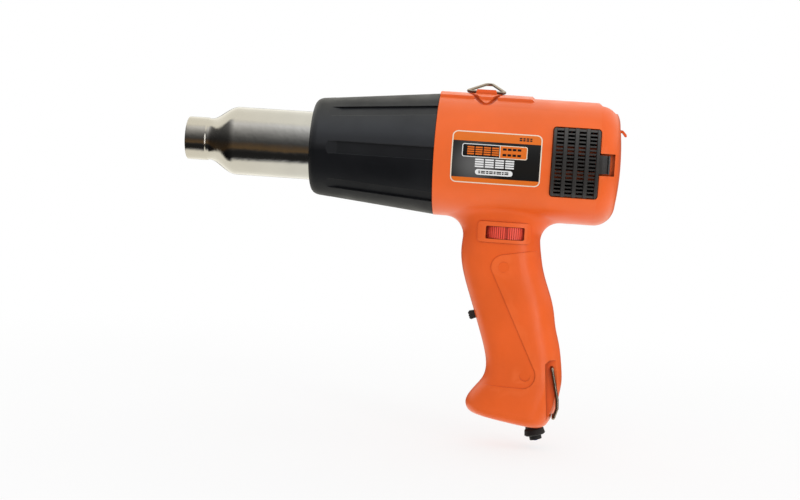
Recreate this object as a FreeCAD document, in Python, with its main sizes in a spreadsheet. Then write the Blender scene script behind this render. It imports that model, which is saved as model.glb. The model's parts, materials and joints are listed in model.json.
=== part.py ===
"""Electric heat gun, modelled as the separate pieces it comes apart into.

Frame: millimetres, +X runs along the barrel from the hot-air outlet to the rear, +Z is up, and
the origin is on the barrel's axis where the outlet's rolled lip meets its cuff. The handle
hangs towards -Z. The moulded halves part on the plane Y = 0; "left" is the -Y side, which
carries the label.
"""
import FreeCAD, Part
import math
import os
import re
import Sketcher
from FreeCAD import Placement, Rotation, Vector

doc = FreeCAD.newDocument("heat_gun")
dims = doc.addObject("Spreadsheet::Sheet", "dims")

# Driving dimensions, in millimetres, or degrees where the name says angle.
DIMENSIONS = {
    # hot-air tube and heater
    "outlet_radius": 12.6,
    "outlet_length": 11.2,
    "lip_length": 0.6,
    "neck_radius": 12.2,
    "cone_start": 13.4,
    "cone_end": 29.5,
    "tube_radius": 20.0,
    "tube_wall": 0.8,
    "tube_end": 141.0,
    "flange_radius": 29.0,
    "flange_thickness": 1.2,
    "flange_hole_circle": 24.5,
    "flange_hole_radius": 1.6,
    "mica_front": 44.0,
    "mica_rear": 135.8,
    "mica_half_width": 15.4,
    "mica_thickness": 0.8,
    "liner_radius": 19.1,
    "liner_wall": 0.6,
    "coil_radius": 16.3,
    "coil_wire_radius": 0.6,
    "coil_pitch": 5.2,
    "coil_front": 50.0,
    "coil_length": 78.0,
    # black front sleeve
    "sleeve_front": 75.0,
    "sleeve_rear": 147.8,
    "sleeve_mouth_radius": 21.4,
    "sleeve_nose_radius": 24.0,
    "sleeve_front_radius": 28.6,
    "sleeve_rear_radius": 35.4,
    "sleeve_wall": 2.6,
    "sleeve_nose_length": 4.6,
    "spigot_end": 154.0,
    "spigot_radius": 32.8,
    "spigot_wall": 2.2,
    "spigot_lip_radius": 33.9,
    "spigot_lip_start": 151.0,
    "spigot_lip_end": 153.0,
    "flute_count": 8,
    "flute_width": 7.2,
    "flute_depth": 1.2,
    "flute_start": 85.4,
    "flute_ramp": 6.5,
    # moulded housing
    "barrel_front": 148.0,
    "barrel_radius": 35.6,
    "barrel_rear": 254.4,
    "housing_wall": 2.6,
    "parting_gap": 0.12,
    "pad_top": 36.9,
    "pad_end": 203.5,
    # fan, motor and shroud
    "shroud_radius": 29.4,
    "shroud_wall": 2.0,
    "shroud_throat": 19.6,
    "shroud_end": 191.0,
    "seat_front": 187.0,
    "seat_rear": 190.0,
    "fan_front": 171.5,
    "fan_depth": 11.0,
    "fan_radius": 26.4,
    "hub_radius": 9.0,
    "blade_count": 7,
    "blade_angle": 38.0,
    "motor_radius": 17.5,
    "motor_front": 190.0,
    "motor_length": 46.0,
    "motor_wall": 1.2,
    "shaft_radius": 1.6,
    # dial and switch
    "dial_radius": 15.0,
    "dial_thickness": 7.0,
    "dial_centre_along": 191.0,
    "dial_centre_across": -3.4,
    "dial_centre_up": -42.9,
    "dial_rib_count": 72,
    "dial_bore_radius": 3.0,
    "knob_along": 176.0,
    "knob_up": -92.0,
    "knob_lean_angle": 18.7,
    "knob_travel": 7.0,
    # wire hangers
    "ring_wire_radius": 0.9,
    "ring_pivot_up": 37.8,
    "ring_front": 162.3,
    "ring_rear": 185.4,
    "ring_reach": 20.0,
    "ring_lean_angle": 15.5,
    "bail_wire_radius": 1.0,
    "bail_pivot_along": 223.3,
    "bail_pivot_up": -119.5,
    "bail_half_span": 11.6,
    # air inlet covers
    "vent_front": 214.7,
    "vent_rear": 241.3,
    "vent_half_height": 19.5,
    "vent_floor_radius": 33.4,
    "vent_ledge_radius": 31.0,
    "cover_inner_radius": 33.6,
    "cover_outer_radius": 36.2,
    "cover_ridge_radius": 36.9,
    "cover_corner_radius": 2.0,
    "slot_rows": 17,
    "slot_columns": 4,
    "slot_height": 1.2,
    "slot_width": 3.8,
    "slot_row_pitch": 2.15,
    "slot_column_pitch": 6.25,
    # label on the left flank
    "label_front": 158.0,
    "label_rear": 208.8,
    "label_spread_angle": 48.4,
    "label_roll_angle": 0.75,
    "label_corner_radius": 3.3,
    # mains lead
    "lead_radius": 3.6,
    "lead_exit_along": 215.0,
    "lead_exit_up": -155.6,
    "lead_tilt_angle": 14.3,
    "lead_stub_length": 8.0,
    "lead_inner_length": 21.0,
    "boot_radius": 5.7,
    "boot_end_radius": 6.2,
    "boot_length": 5.4,
    # fasteners
    "screw_radius": 1.5,
    "screw_head_radius": 2.8,
    "boss_radius": 3.2,
}
for row, (alias, value) in enumerate(DIMENSIONS.items(), start=1):
    dims.set(f"A{row}", alias)
    dims.set(f"B{row}", str(value))
    dims.setAlias(f"B{row}", alias)
doc.recompute()

SUB_PARTS = []


def size(expression):
    """The value of an expression over the sheet's names, such as "tube_radius - tube_wall"."""
    return float(dims.evalExpression(expression))


def keep(obj, label):
    """Names a finished sub-part; its label becomes its file name."""
    obj.Label = label
    SUB_PARTS.append(obj)
    return obj


def sheet(expression):
    """An expression as other objects write it, with every sheet name prefixed."""
    return re.sub(r"[a-z]\w+", lambda word: "dims." + word.group(), expression)


def bind(obj, **properties):
    """Binds properties of obj to expressions over the sheet."""
    for name, expression in properties.items():
        obj.setExpression(name, sheet(expression))
    return obj


def place(obj, x="0", y="0", z="0", axis=(0, 0, 1), angle="0"):
    """Puts obj at a bound position, turned by a bound angle in degrees about axis."""
    obj.Placement = Placement(Vector(), Rotation(Vector(*axis), size(angle)))
    for letter, expression in zip("xyz", (x, y, z)):
        obj.setExpression(f".Placement.Base.{letter}", sheet(expression))
    if angle != "0":
        obj.setExpression(".Placement.Rotation.Angle", sheet(angle))
    return obj


# ---------------------------------------------------------------- part design helpers

def new_body(label):
    body = doc.addObject("PartDesign::Body", label)
    return keep(body, label)


def new_sketch(body, plane="XZ_Plane", offset="0"):
    """A sketch on one of the body's own planes, raised along the plane's normal by offset."""
    sketch = body.newObject("Sketcher::SketchObject", body.Name + "_sketch")
    support = next(o for o in body.Origin.OriginFeatures if o.Role == plane)
    sketch.AttachmentSupport = (support, [""])
    sketch.MapMode = "FlatFace"
    if offset != "0":
        sketch.setExpression(".AttachmentOffset.Base.z", sheet(offset))
    return sketch


def pin_point(sketch, geometry, point, across, up):
    """Fixes one end of a sketch edge at a bound distance from the sketch's origin."""
    for kind, expression in (("DistanceX", across), ("DistanceY", up)):
        value = size(expression)
        if abs(value) < 1e-9:
            target = -2 if kind == "DistanceX" else -1
            sketch.addConstraint(Sketcher.Constraint("PointOnObject", geometry, point, target))
            continue
        index = sketch.addConstraint(
            Sketcher.Constraint(kind, -1, 1, geometry, point, value))
        sketch.setExpression(f"Constraints[{index}]", sheet(expression))


def outline(sketch, corners):
    """A closed outline. A corner is (across, up), or (across, up, poles) where a curve with
    those free poles, given as numbers, leads to the next corner instead of a line."""
    points = [Vector(size(c[0]), size(c[1]), 0) for c in corners]
    edges = []
    for i, corner in enumerate(corners):
        start, end = points[i], points[(i + 1) % len(points)]
        if len(corner) == 3:
            curve = Part.BSplineCurve()
            curve.buildFromPoles([start] + [Vector(*p, 0) for p in corner[2]] + [end])
            edges.append(sketch.addGeometry(curve, False))
        else:
            edges.append(sketch.addGeometry(Part.LineSegment(start, end), False))
    for i, edge in enumerate(edges):
        sketch.addConstraint(
            Sketcher.Constraint("Coincident", edge, 2, edges[(i + 1) % len(edges)], 1))
        pin_point(sketch, edge, 1, corners[i][0], corners[i][1])
    return edges


def rectangle(sketch, left, bottom, right, top):
    return outline(sketch, [(left, bottom), (right, bottom), (right, top), (left, top)])


def circle(sketch, radius, across="0", up="0"):
    centre = Vector(size(across), size(up), 0)
    index = sketch.addGeometry(Part.Circle(centre, Vector(0, 0, 1), size(radius)), False)
    pin_point(sketch, index, 3, across, up)
    c = sketch.addConstraint(Sketcher.Constraint("Radius", index, size(radius)))
    sketch.setExpression(f"Constraints[{c}]", sheet(radius))
    return index


def feature(body, kind, sketch=None, **values):
    """Adds a PartDesign feature; a text value is an expression, anything else is set as it is."""
    made = body.newObject("PartDesign::" + kind, body.Name + "_" + kind.lower())
    if sketch is not None:
        made.Profile = sketch
        sketch.Visibility = False
    for name, value in values.items():
        if isinstance(value, str) and name not in ("Type",):
            made.setExpression(name, sheet(value))
        else:
            setattr(made, name, value)
    return made


def turned(label, corners):
    """A body turned about the barrel's axis from a profile of (along, radius) corners."""
    body = new_body(label)
    sketch = new_sketch(body)
    outline(sketch, corners)
    feature(body, "Revolution", sketch, ReferenceAxis=(sketch, ["H_Axis"]), Angle=360.0)
    return body


def around(body, first, count, axis="X_Axis"):
    """Repeats a feature evenly round one of the body's own axes."""
    pattern = body.newObject("PartDesign::PolarPattern", body.Name + "_polar")
    pattern.Originals = [first]
    line = next(o for o in body.Origin.OriginFeatures if o.Role == axis)
    pattern.Axis = (line, [""])
    pattern.Angle = 360.0
    pattern.setExpression("Occurrences", sheet(count))
    body.Tip = pattern
    return pattern


def must_cut(body, name, make):
    """Adds the feature that make() returns, and stops if it takes nothing away."""
    doc.recompute()
    before = body.Shape.Volume
    made = make()
    doc.recompute()
    if "Invalid" in made.State or body.Shape.Volume > before - 1e-6:
        raise RuntimeError(f"{body.Label}: {name} cut nothing")
    return made


def pocket(body, plane, start, length, draw, name="pocket"):
    """Cuts what draw() sketches, from start along the plane's normal, over a bound length."""
    def cut():
        sketch = new_sketch(body, plane, start)
        draw(sketch)
        return feature(body, "Pocket", sketch, Length=length, Reversed=True)
    return must_cut(body, name, cut)


def pad(body, plane, start, length, draw):
    """Raises what draw() sketches, from start along the plane's normal, by a bound length."""
    sketch = new_sketch(body, plane, start)
    draw(sketch)
    return feature(body, "Pad", sketch, Length=length)


# ---------------------------------------------------------------- solid helpers

def part_box(name, x, y, z):
    """A box between bound limits; x, y and z are (low, high)."""
    box = doc.addObject("Part::Box", name)
    bind(box, **{side: f"( {high} ) - ( {low} )"
                 for side, (low, high) in zip(("Length", "Width", "Height"), (x, y, z))})
    return place(box, x[0], y[0], z[0])


def part_cylinder(name, radius, length, x="0", y="0", z="0", along="z"):
    """A cylinder from a bound point, running along +X, +Y or +Z."""
    rod = doc.addObject("Part::Cylinder", name)
    bind(rod, Radius=radius, Height=length)
    turn = {"x": ((0, 1, 0), "90"), "y": ((1, 0, 0), "-90"), "z": ((0, 0, 1), "0")}[along]
    return place(rod, x, y, z, *turn)


def part_cut(name, base, *tools):
    """base with every tool taken away."""
    for number, tool in enumerate(tools):
        made = doc.addObject("Part::Cut", f"{name}_cut{number}")
        made.Base = base
        made.Tool = tool
        base = made
    return base


def group(label, *shapes):
    """Separate solids kept together as one sub-part."""
    made = doc.addObject("Part::Compound", label)
    made.Links = list(shapes)
    return keep(made, label)


def shaped(label, shape):
    """A sub-part whose shape comes straight from Part's functions."""
    made = doc.addObject("Part::Feature", label)
    made.Shape = shape
    made.Placement = shape.Placement
    return keep(made, label)


def repeated(label, master, placements):
    """Copies of one master piece, such as a set of equal screws, as separate solids."""
    copies = []
    for placement in placements:
        copy = master.Shape.copy()
        copy.Placement = placement.multiply(copy.Placement)
        copies.append(copy)
    return shaped(label, Part.makeCompound(copies))


def rounded_path(points, bends):
    """A wire through the points; bends holds each corner's centreline radius."""
    edges = []
    start = points[0]
    for before, corner, after, bend in zip(points, points[1:], points[2:], bends):
        inward = (before - corner).normalize()
        outward = (after - corner).normalize()
        half = inward.getAngle(outward) / 2
        setback = bend / math.tan(half)
        centre = corner + (inward + outward).normalize() * (bend / math.sin(half))
        arc_start = corner + inward * setback
        arc_end = corner + outward * setback
        middle = centre + (corner - centre).normalize() * bend
        edges.append(Part.makeLine(start, arc_start))
        edges.append(Part.Arc(arc_start, middle, arc_end).toShape())
        start = arc_end
    edges.append(Part.makeLine(start, points[-1]))
    return Part.Wire(edges)


def rod_along(path, radius):
    """A round rod of one radius along a wire."""
    start = path.Edges[0].Vertexes[0].Point
    heading = path.Edges[0].tangentAt(path.Edges[0].FirstParameter)
    profile = Part.Wire(Part.makeCircle(radius, start, heading))
    return path.makePipeShell([profile], True, True)


# ---------------------------------------------------------------- hot-air tube and heater

def nozzle_tube():
    """Spun steel tube: outlet cuff with a rolled lip, swaged cone, tube and screw flange."""
    start, end = size("cone_start"), size("cone_end")
    neck, tube, wall = size("neck_radius"), size("tube_radius"), size("tube_wall")
    cone_out = [(start + 4.6, neck + 0.3), (end - 6.2, tube)]
    cone_in = [(end - 5.9, tube - wall), (start + 4.9, neck - wall + 0.3)]
    cuff, lip = size("outlet_radius"), size("lip_length")
    body = turned("nozzle_tube", [
        ("-lip_length", "outlet_radius - 0.8", [(-lip, cuff - 0.2), (-lip / 2, cuff)]),
        ("0", "outlet_radius"),
        ("outlet_length", "outlet_radius"),
        ("outlet_length + 0.6", "neck_radius"),
        ("cone_start", "neck_radius", cone_out),
        ("cone_end", "tube_radius"),
        ("tube_end - flange_thickness", "tube_radius"),
        ("tube_end - flange_thickness", "flange_radius"),
        ("tube_end", "flange_radius"),
        ("tube_end", "tube_radius - tube_wall"),
        ("cone_end + 0.3", "tube_radius - tube_wall", cone_in),
        ("cone_start + 0.3", "neck_radius - tube_wall"),
        ("0.9", "neck_radius - tube_wall"),
    ])
    hole = pocket(body, "YZ_Plane", "tube_end - flange_thickness - 1", "flange_thickness + 2",
                  lambda s: circle(s, "flange_hole_radius", "0", "flange_hole_circle"))
    around(body, hole, "3")


def mica_liner():
    """Insulating sleeve between the heater and the steel tube."""
    turned("mica_liner", [
        ("mica_front", "liner_radius - liner_wall"),
        ("mica_front", "liner_radius"),
        ("mica_rear", "liner_radius"),
        ("mica_rear", "liner_radius - liner_wall"),
    ])


def mica_plate(label, plane, slot_from, slot_to):
    """One of the two crossed boards that carry the coil; half its length is slotted."""
    body = new_body(label)
    pad(body, plane, "-mica_thickness / 2", "mica_thickness",
        lambda s: rectangle(s, "mica_front + 1", "-mica_half_width", "mica_rear",
                            "mica_half_width"))
    pocket(body, plane, "-mica_thickness", "2 * mica_thickness",
           lambda s: rectangle(s, slot_from, "-( mica_thickness / 2 + 0.05 )", slot_to,
                               "mica_thickness / 2 + 0.05"))


def heating_coil():
    """Resistance wire wound as a helix round the crossed boards."""
    helix = doc.addObject("Part::Helix", "coil_path")
    bind(helix, Radius="coil_radius", Pitch="coil_pitch", Height="coil_length")
    wire = doc.addObject("Part::Circle", "coil_wire")
    bind(wire, Radius="coil_wire_radius")
    place(wire, "coil_radius", "0", "0", axis=(1, 0, 0), angle="90")
    sweep = doc.addObject("Part::Sweep", "heating_coil")
    sweep.Sections = [wire]
    sweep.Spine = (helix, ["Edge1"])
    sweep.Solid = True
    sweep.Frenet = True
    place(sweep, "coil_front", "0", "0", axis=(0, 1, 0), angle="90")
    keep(sweep, "heating_coil")


def heater_base():
    """Ceramic disc behind the heater, with four openings for the air."""
    body = new_body("heater_base")
    pad(body, "YZ_Plane", "mica_rear + 0.2", "3.4", lambda s: circle(s, "liner_radius - 0.1"))
    window = pocket(body, "YZ_Plane", "mica_rear", "4",
                    lambda s: circle(s, "5.2", "9", "9"))
    around(body, window, "4")


def thermal_fuse():
    """Cut-out that opens the heater circuit when the air stops."""
    body = new_body("thermal_fuse")
    pad(body, "YZ_Plane", "mica_front + 66", "12", lambda s: circle(s, "2", "7", "7"))
    pad(body, "YZ_Plane", "mica_front + 78", "13.4", lambda s: circle(s, "0.5", "7", "7"))


# ---------------------------------------------------------------- front sleeve

def front_sleeve():
    """Black heat-resistant sleeve: rounded nose, eight flutes and a snap spigot at the rear."""
    nose, taper = size("sleeve_nose_radius"), size("sleeve_front_radius")
    front, length = size("sleeve_front"), size("sleeve_nose_length")
    shoulder = [(front, nose + 2.6), (front + 1.6, taper - 0.5)]
    body = turned("front_sleeve", [
        ("sleeve_front", "sleeve_mouth_radius"),
        ("sleeve_front", "sleeve_nose_radius", shoulder),
        ("sleeve_front + sleeve_nose_length", "sleeve_front_radius"),
        ("sleeve_rear", "sleeve_rear_radius"),
        ("sleeve_rear", "spigot_radius"),
        ("spigot_lip_start", "spigot_radius"),
        ("spigot_lip_start + 0.3", "spigot_lip_radius"),
        ("spigot_lip_end - 0.8", "spigot_lip_radius"),
        ("spigot_end", "spigot_radius - 0.6"),
        ("spigot_end", "spigot_radius - spigot_wall"),
        ("sleeve_rear - 3.5", "spigot_radius - spigot_wall"),
        ("sleeve_rear - 5", "spigot_radius - 0.8"),
        ("sleeve_front + 5.5", "sleeve_front_radius - sleeve_wall"),
        ("sleeve_front + sleeve_wall", "sleeve_front_radius - sleeve_wall"),
        ("sleeve_front + sleeve_wall", "sleeve_mouth_radius"),
    ])
    taper_start = "( sleeve_front + sleeve_nose_length )"
    slope = f"( sleeve_rear_radius - sleeve_front_radius ) / ( sleeve_rear - {taper_start} )"

    def surface(along):
        return f"sleeve_front_radius + ( {along} - {taper_start} ) * {slope}"

    def flute():
        ramp_end, tail = "( flute_start + flute_ramp )", "( sleeve_rear + 1 )"
        sketch = new_sketch(body)
        outline(sketch, [
            ("flute_start", surface("flute_start")),
            (ramp_end, f"{surface(ramp_end)} - flute_depth"),
            (tail, f"{surface(tail)} - flute_depth"),
            (tail, "sleeve_rear_radius + 3"),
            ("flute_start", "sleeve_rear_radius + 3")])
        return feature(body, "Pocket", sketch, Length="flute_width", Midplane=True)

    around(body, must_cut(body, "flute", flute), "flute_count")


# ---------------------------------------------------------------- fan, shroud and motor

def fan_shroud():
    """Duct from the fan to the heater, with the plate that carries the motor."""
    body = turned("fan_shroud", [
        ("tube_end", "tube_radius - tube_wall"),
        ("tube_end", "flange_radius"),
        ("tube_end + 2.4", "flange_radius"),
        ("tube_end + 2.4", "shroud_throat + shroud_wall"),
        ("tube_end + 22", "shroud_throat + shroud_wall"),
        ("tube_end + 28", "shroud_radius"),
        ("tube_end + 39", "shroud_radius"),
        ("tube_end + 39", "barrel_radius - housing_wall - 0.3"),
        ("tube_end + 41.4", "barrel_radius - housing_wall - 0.3"),
        ("tube_end + 41.4", "shroud_radius"),
        ("shroud_end", "shroud_radius"),
        ("shroud_end", "shroud_radius - shroud_wall"),
        ("tube_end + 28", "shroud_radius - shroud_wall"),
        ("tube_end + 22", "shroud_throat"),
        ("tube_end + 2", "shroud_throat"),
    ])
    pad(body, "YZ_Plane", "seat_front", "seat_rear - seat_front",
        lambda s: circle(s, "shroud_radius - shroud_wall + 0.1"))
    pocket(body, "YZ_Plane", "seat_front - 1", "seat_rear - seat_front + 2",
           lambda s: circle(s, "4.3"), "shaft hole")

    def window():
        sketch = new_sketch(body)
        rectangle(sketch, "seat_front - 0.5", "18.8", "seat_rear + 0.5", "26.2")
        return feature(body, "Groove", sketch, ReferenceAxis=(sketch, ["H_Axis"]), Angle=68.0)

    around(body, must_cut(body, "air window", window), "4")
    screw_hole = pocket(body, "YZ_Plane", "seat_front - 1", "5",
                        lambda s: circle(s, "1.35", "0", "11"), "motor screw hole")
    around(body, screw_hole, "2")
    boss = pad(body, "YZ_Plane", "tube_end + 2.4", "4.5",
               lambda s: circle(s, "boss_radius", "0", "flange_hole_circle"))
    around(body, boss, "3")
    pilot = pocket(body, "YZ_Plane", "tube_end - 1", "7",
                   lambda s: circle(s, "screw_radius + 0.02", "0", "flange_hole_circle"), "pilot")
    around(body, pilot, "3")


def fan_impeller():
    """Axial fan: a hub with straight blades set at one angle."""
    body = new_body("fan_impeller")
    pad(body, "YZ_Plane", "fan_front", "fan_depth", lambda s: circle(s, "hub_radius"))
    lean = math.radians(size("blade_angle"))
    half_depth = size("fan_depth") / 2 - 0.6
    swing = half_depth * math.tan(lean)
    blade = pad(body, "XY_Plane", "hub_radius - 1.5", "fan_radius - hub_radius + 1",
                lambda s: outline(s, [
                    ("fan_front + 0.4", f"{-swing - 1.0}"),
                    ("fan_front + 0.4", f"{-swing + 1.0}"),
                    ("fan_front + fan_depth - 0.4", f"{swing + 1.0}"),
                    ("fan_front + fan_depth - 0.4", f"{swing - 1.0}"),
                ]))
    around(body, blade, "blade_count")
    pocket(body, "YZ_Plane", "fan_front - 1", "fan_depth + 2",
           lambda s: circle(s, "shaft_radius"), "shaft hole")


def motor():
    """Permanent-magnet motor: can, end bell, magnets, rotor, bushes and brushes."""
    can = turned("motor_can", [
        ("motor_front - 1.8", "2.6"),
        ("motor_front - 1.8", "4.1"),
        ("motor_front", "4.1"),
        ("motor_front", "motor_radius"),
        ("motor_front + motor_length", "motor_radius"),
        ("motor_front + motor_length", "motor_radius - motor_wall"),
        ("motor_front + 1.5", "motor_radius - motor_wall"),
        ("motor_front + 1.5", "2.6"),
    ])
    hole = pocket(can, "YZ_Plane", "motor_front - 1", "4",
                  lambda s: circle(s, "1.25", "0", "11"), "screw hole")
    around(can, hole, "2")
    rear = "motor_front + motor_length"
    bell = turned("motor_end_bell", [
        (f"{rear} - 5", "12.8"),
        (f"{rear} - 5", "motor_radius - motor_wall - 0.05"),
        (rear, "motor_radius - motor_wall - 0.05"),
        (rear, "motor_radius"),
        (f"{rear} + 3", "motor_radius"),
        (f"{rear} + 3", "5"),
        (f"{rear} + 5.5", "5"),
        (f"{rear} + 5.5", "2.6"),
        (f"{rear}", "2.6"),
        (f"{rear}", "12.8"),
    ])
    slot = pocket(bell, "YZ_Plane", f"{rear} - 1", "5",
                  lambda s: rectangle(s, "-1.2", "8", "1.2", "11"), "terminal slot")
    around(bell, slot, "2")
    magnets = []
    for side, turn in (("upper", 25), ("lower", 205)):
        outer = doc.addObject("Part::Cylinder", f"magnet_{side}")
        bind(outer, Radius="motor_radius - motor_wall", Height="motor_length - 12")
        outer.Angle = 130
        inner = doc.addObject("Part::Cylinder", f"magnet_{side}_bore")
        bind(inner, Radius="13.2", Height="motor_length - 6")
        inner.Placement = Placement(Vector(0, 0, -2), Rotation())
        magnet = part_cut(f"magnet_{side}", outer, inner)
        spin = Rotation(Vector(0, 1, 0), 90).multiply(Rotation(Vector(0, 0, 1), turn))
        magnet.Placement = Placement(Vector(size("motor_front") + 6, 0, 0), spin)
        magnet.setExpression(".Placement.Base.x", sheet("motor_front + 6"))
        magnets.append(magnet)
    group("motor_magnets", *magnets)
    core = new_body("armature")
    pad(core, "YZ_Plane", "motor_front + 7", "motor_length - 16", lambda s: circle(s, "12.2"))
    slot = pocket(core, "YZ_Plane", "motor_front + 6", "motor_length - 14",
                  lambda s: rectangle(s, "-1.6", "6.5", "1.6", "14"), "winding slot")
    around(core, slot, "5")
    pocket(core, "YZ_Plane", "motor_front + 6", "motor_length - 14",
           lambda s: circle(s, "shaft_radius"), "shaft hole")
    windings = new_body("armature_windings")

    def ring(sketch):
        circle(sketch, "9.6")
        circle(sketch, "3")

    pad(windings, "YZ_Plane", "motor_front + 3.6", "3.4", ring)
    bar = pad(windings, "YZ_Plane", "motor_front + 6.5", "motor_length - 15",
              lambda s: rectangle(s, "-1.4", "6.7", "1.4", "9.4"))
    around(windings, bar, "5")
    pad(windings, "YZ_Plane", f"{rear} - 9", "3.2", ring)
    commutator = new_body("commutator")
    pad(commutator, "YZ_Plane", f"{rear} - 5.4", "5.1", lambda s: circle(s, "4.6"))
    gap = pocket(commutator, "YZ_Plane", f"{rear} - 6", "7",
                 lambda s: rectangle(s, "-0.25", "4", "0.25", "5"), "segment gap")
    around(commutator, gap, "5")
    pocket(commutator, "YZ_Plane", f"{rear} - 6", "7",
           lambda s: circle(s, "shaft_radius"), "shaft hole")
    shaft = new_body("motor_shaft")
    pad(shaft, "YZ_Plane", "fan_front - 2", "motor_front + motor_length + 7 - fan_front + 2",
        lambda s: circle(s, "shaft_radius"))
    bushes = []
    for number, (start, length) in enumerate((("motor_front - 1.8", "3.3"), (rear, "5.5"))):
        outer = part_cylinder(f"bush_{number}", "2.6", length, x=start, along="x")
        bore = part_cylinder(f"bush_bore_{number}", "shaft_radius + 0.05", f"{length} + 2",
                             x=f"{start} - 1", along="x")
        bushes.append(part_cut(f"bush_{number}", outer, bore))
    group("motor_bushes", *bushes)
    brushes = []
    for side, low, high in (("left", "-12.4", "-4.7"), ("right", "4.7", "12.4")):
        brushes.append(part_box(f"brush_{side}", (f"{rear} - 4.4", f"{rear} - 1"), (low, high),
                                ("-2", "2")))
    group("motor_brushes", *brushes)
    turned("motor_damper", [
        ("motor_front + 11", "motor_radius"),
        ("motor_front + 11", "21"),
        ("motor_front + 19", "21"),
        ("motor_front + 19", "motor_radius"),
    ])


def rectifier():
    """Round board behind the motor with its four diodes, feeding it direct current."""
    board = new_body("rectifier_board")
    face = "motor_front + motor_length + 8"
    pad(board, "YZ_Plane", face, "1.6", lambda s: circle(s, "13"))
    diodes = []
    for number in range(4):
        up = f"{-7.5 + 5 * number}"
        diodes.append(part_cylinder(f"diode_{number}", "1.5", "6", x=f"{face} + 3.1", y="-3",
                                    z=up, along="y"))
    group("rectifier_diodes", *diodes)
    posts = []
    for side in ("-9.5", "9.5"):
        posts.append(part_box(f"terminal_{side[0]}", ("motor_front + motor_length + 3", face),
                              ("-1", "1"), (f"{side} - 0.8", f"{side} + 0.8")))
    group("motor_terminals", *posts)


# ---------------------------------------------------------------- moulded housing

# Stations down the handle: (height, front edge, rear edge, half width).
HANDLE_STATIONS = [
    (-12, 166.0, 211.3, 17.0),
    (-24, 166.0, 211.3, 17.2),
    (-36, 166.0, 211.3, 17.4),
    (-48, 166.0, 211.3, 17.5),
    (-60, 166.0, 213.3, 17.3),
    (-72, 169.0, 217.0, 17.0),
    (-84, 173.3, 221.2, 16.7),
    (-97, 178.0, 223.8, 16.5),
    (-108, 181.8, 226.8, 16.4),
    (-116, 184.0, 228.3, 16.5),
    (-124, 184.6, 229.3, 17.0),
    (-133, 180.5, 229.0, 18.0),
    (-143, 174.2, 227.3, 18.5),
    (-151, 176.0, 224.0, 18.4),
    (-164, 183.0, 220.0, 18.2),
]
SECTION_POINTS = 16
SECTION_POWER = 2.5

# Housing screws: (along, height) on the parting plane; they enter from the right.
SCREW_SITES = [
    (158.5, 29.5),
    (158.5, -29.5),
    (212.0, 29.5),
    (236.0, -29.5),
    (191.5, -62.5),
    (208.0, -124.5),
    (186.0, -140.5),
]
SCREW_SEAT = 9.0
SCREW_LENGTH = 19.0
MARKED_SITES = SCREW_SITES[4:6]
MARK_RADIUS = 3.1
MARK_FLOORS = (-17.7, -16.85)

# The heel slopes down to the rear through this point (along, height).
HEEL = (199.0, -153.0)
HEEL_TILT = 9.1


def handle_section(height, front, rear, half_width):
    """A level superellipse round the handle at one height."""
    centre = (front + rear) / 2
    half_depth = (rear - front) / 2
    points = []
    for i in range(SECTION_POINTS):
        angle = 2 * math.pi * i / SECTION_POINTS
        c, s = math.cos(angle), math.sin(angle)
        along = math.copysign(abs(c) ** (2 / SECTION_POWER), c)
        across = math.copysign(abs(s) ** (2 / SECTION_POWER), s)
        points.append(Vector(centre + half_depth * along, half_width * across, height))
    curve = Part.BSplineCurve()
    curve.interpolate(points, PeriodicFlag=True)
    return Part.Wire([curve.toShape()])


def handle_solid(inset=0.0, widen=0.0):
    """The handle, shrunk by inset all round, or grown sideways only by widen."""
    sections = [
        handle_section(height, front + inset, rear - inset, half_width - inset + widen)
        for height, front, rear, half_width in HANDLE_STATIONS
    ]
    return Part.makeLoft(sections, True, False)


def block(x, y, z):
    """A box between limits given as (low, high) numbers."""
    return Part.makeBox(x[1] - x[0], y[1] - y[0], z[1] - z[0], Vector(x[0], y[0], z[0]))


def rod(radius, start, end):
    return Part.makeCylinder(radius, (end - start).Length, start, end - start)


def extruded(points, half_width):
    """A prism from an outline in the XZ plane, |y| up to half_width."""
    corners = [Vector(x, -half_width, z) for x, z in points]
    face = Part.Face(Part.makePolygon(corners + corners[:1]))
    return face.extrude(Vector(0, 2 * half_width, 0))


def ring_block(inner, outer, start, end):
    """A plain ring about the barrel's axis."""
    axis = Vector(1, 0, 0)
    base = Vector(start, 0, 0)
    whole = Part.makeCylinder(outer, end - start, base, axis)
    return whole.cut(Part.makeCylinder(inner, end - start + 2, Vector(start - 1, 0, 0), axis))


def barrel_solid(radius, front, rear):
    """The barrel turned about X, with a rounded corner and a domed rear face."""
    shoulder = Vector(rear - 13.6, 0, radius)
    corner = Vector(rear - 4.9, 0, radius - 4.0)
    dome_edge = Vector(rear - 1.8, 0, radius - 11.6)
    dome = Vector(rear - 0.4, 0, (radius - 11.6) / 2)
    tip = Vector(rear, 0, 0)
    low, high = Vector(front, 0, 0), Vector(front, 0, radius)
    edges = [
        Part.makeLine(low, high),
        Part.makeLine(high, shoulder),
        Part.Arc(shoulder, corner, dome_edge).toShape(),
        Part.Arc(dome_edge, dome, tip).toShape(),
        Part.makeLine(tip, low),
    ]
    turned_shape = Part.Face(Part.Wire(edges)).revolve(Vector(), Vector(1, 0, 0), 360)
    return Part.Solid(turned_shape) if turned_shape.ShapeType == "Shell" else turned_shape


def below_heel(raised):
    """Everything below the heel's sloping plane, raised by some millimetres."""
    slab = Part.makeBox(200, 100, 60, Vector(-100, -50, -60))
    base = Vector(HEEL[0], 0, HEEL[1] + raised)
    slab.Placement = Placement(base, Rotation(Vector(0, 1, 0), HEEL_TILT))
    return slab


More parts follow.
